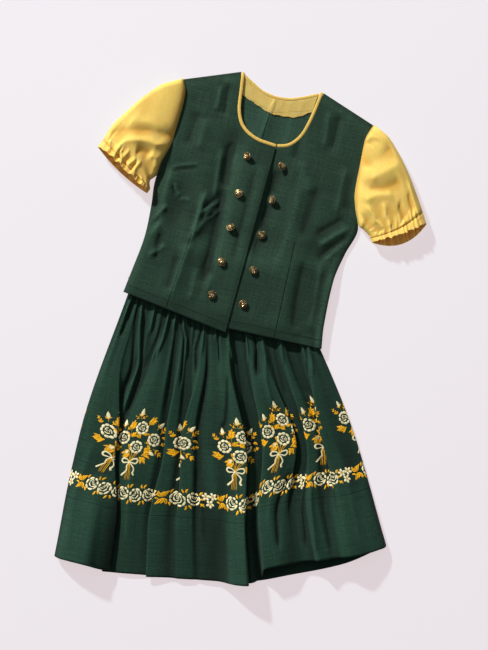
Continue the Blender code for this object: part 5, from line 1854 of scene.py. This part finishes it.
def makeStitches():
    lift = np.array([0, 0, bodice["wall"] / 2 + stitch["proud"]])
    turn = bodice["hemTurn"]
    for name, start, end, height in (
        ("lapStitches", (-0.0042, -0.3820), (-0.0062, -0.0160), rightFrontHeight),
        ("hemStitchesRight", (-0.2130, -0.3612 + turn), (-0.0040, -0.3857 + turn), rightFrontHeight),
        ("hemStitchesLeft", (0.0060, -0.3790 + turn), (0.1890, -0.3658 + turn), frontHeight),
    ):
        stitchRow(name, raised(trace(np.array([start, end]), 120), height) + lift, greenThread)
    for side, grid in sleeveGrids.items():
        ring = grid[round(sleeve["elastic"] * (sleeve["rings"] - 1))]
        upper = ring[:sleeve["around"] // 2 + 1]
        path = upper if upper[:, 2].mean() > ring[:, 2].mean() else ring[sleeve["around"] // 2:]
        path = trace(path, 200) + (0, 0, stitch["cuffProud"])
        stitchRow("cuffStitches" + side.capitalize(), path, yellowThread, stitch["cuffPitch"])
    hem = []
    for points, above in zip(skirtPoints.swapaxes(0, 1), skirtCloth[:, :, 1].T):
        order = np.argsort(above)
        hem.append([np.interp(skirt["hemTurn"], above[order], points[order, k]) for k in range(3)])
    stitchRow("hemStitchesSkirt", np.array(hem)[::4] + (0, 0, skirt["shell"] / 2), greenThread,
              stitch["hemPitch"], stitch["hemShare"], stitch["hemThick"])


makeStitches()
print("stitches ready")

# floor, light and camera

centre = np.array([0.0070, 0.0045])  # where the camera looks
cameraHeight = 3.4
frameHeight = 1.30


def makeFloor():
    bpy.ops.object.select_all(action="DESELECT")
    bpy.ops.mesh.primitive_plane_add(size=8, location=(*centre, -0.0005))
    floor = bpy.context.object
    floor.name = "floor"
    material, tree, shader = newMaterial("paleSurface")
    fill(tree, shader, {
        "Base Color": (0.185, 0.245, 0.262, 1), "Roughness": 0.9, "Specular IOR Level": 0.05,
        "Emission Color": (1.0, 0.860, 0.890, 1), "Emission Strength": 0.685,
    })
    floor.data.materials.append(material)


def areaLight(name, place, size, power, colour):
    # a round lamp, placed from the middle of the floor and turned towards it
    light = bpy.data.lights.new(name, "AREA")
    light.shape = "DISK"
    light.size = size
    light.energy = power
    light.color = colour
    lamp = bpy.data.objects.new(name, light)
    place = Vector(place)
    lamp.location = Vector((*centre, 0)) + place
    lamp.rotation_euler = (-place).to_track_quat("-Z", "Y").to_euler()
    bpy.context.scene.collection.objects.link(lamp)


makeFloor()
areaLight("keyLight", (-4.35, 6.75, 4.5), 0.62, 1230, (1.0, 0.98, 0.95))
areaLight("fillLight", (-0.3, 0.4, 2.6), 2.4, 12, (0.97, 0.98, 1.0))
world = bpy.data.worlds.new("studio")
world.use_nodes = True
fill(world.node_tree, world.node_tree.nodes["Background"], {0: (0.95, 0.96, 1.0, 1), 1: 0.095})
bpy.context.scene.world = world
bpy.context.scene.view_settings.view_transform = "Standard"

camera = bpy.data.cameras.new("overhead")
camera.sensor_fit = "VERTICAL"
camera.sensor_height = 24.0
camera.lens = camera.sensor_height * cameraHeight / frameHeight
cameraPiece = bpy.data.objects.new("overhead", camera)
cameraPiece.location = (*centre, cameraHeight)
bpy.context.scene.collection.objects.link(cameraPiece)
bpy.context.scene.camera = cameraPiece
print("stage ready")
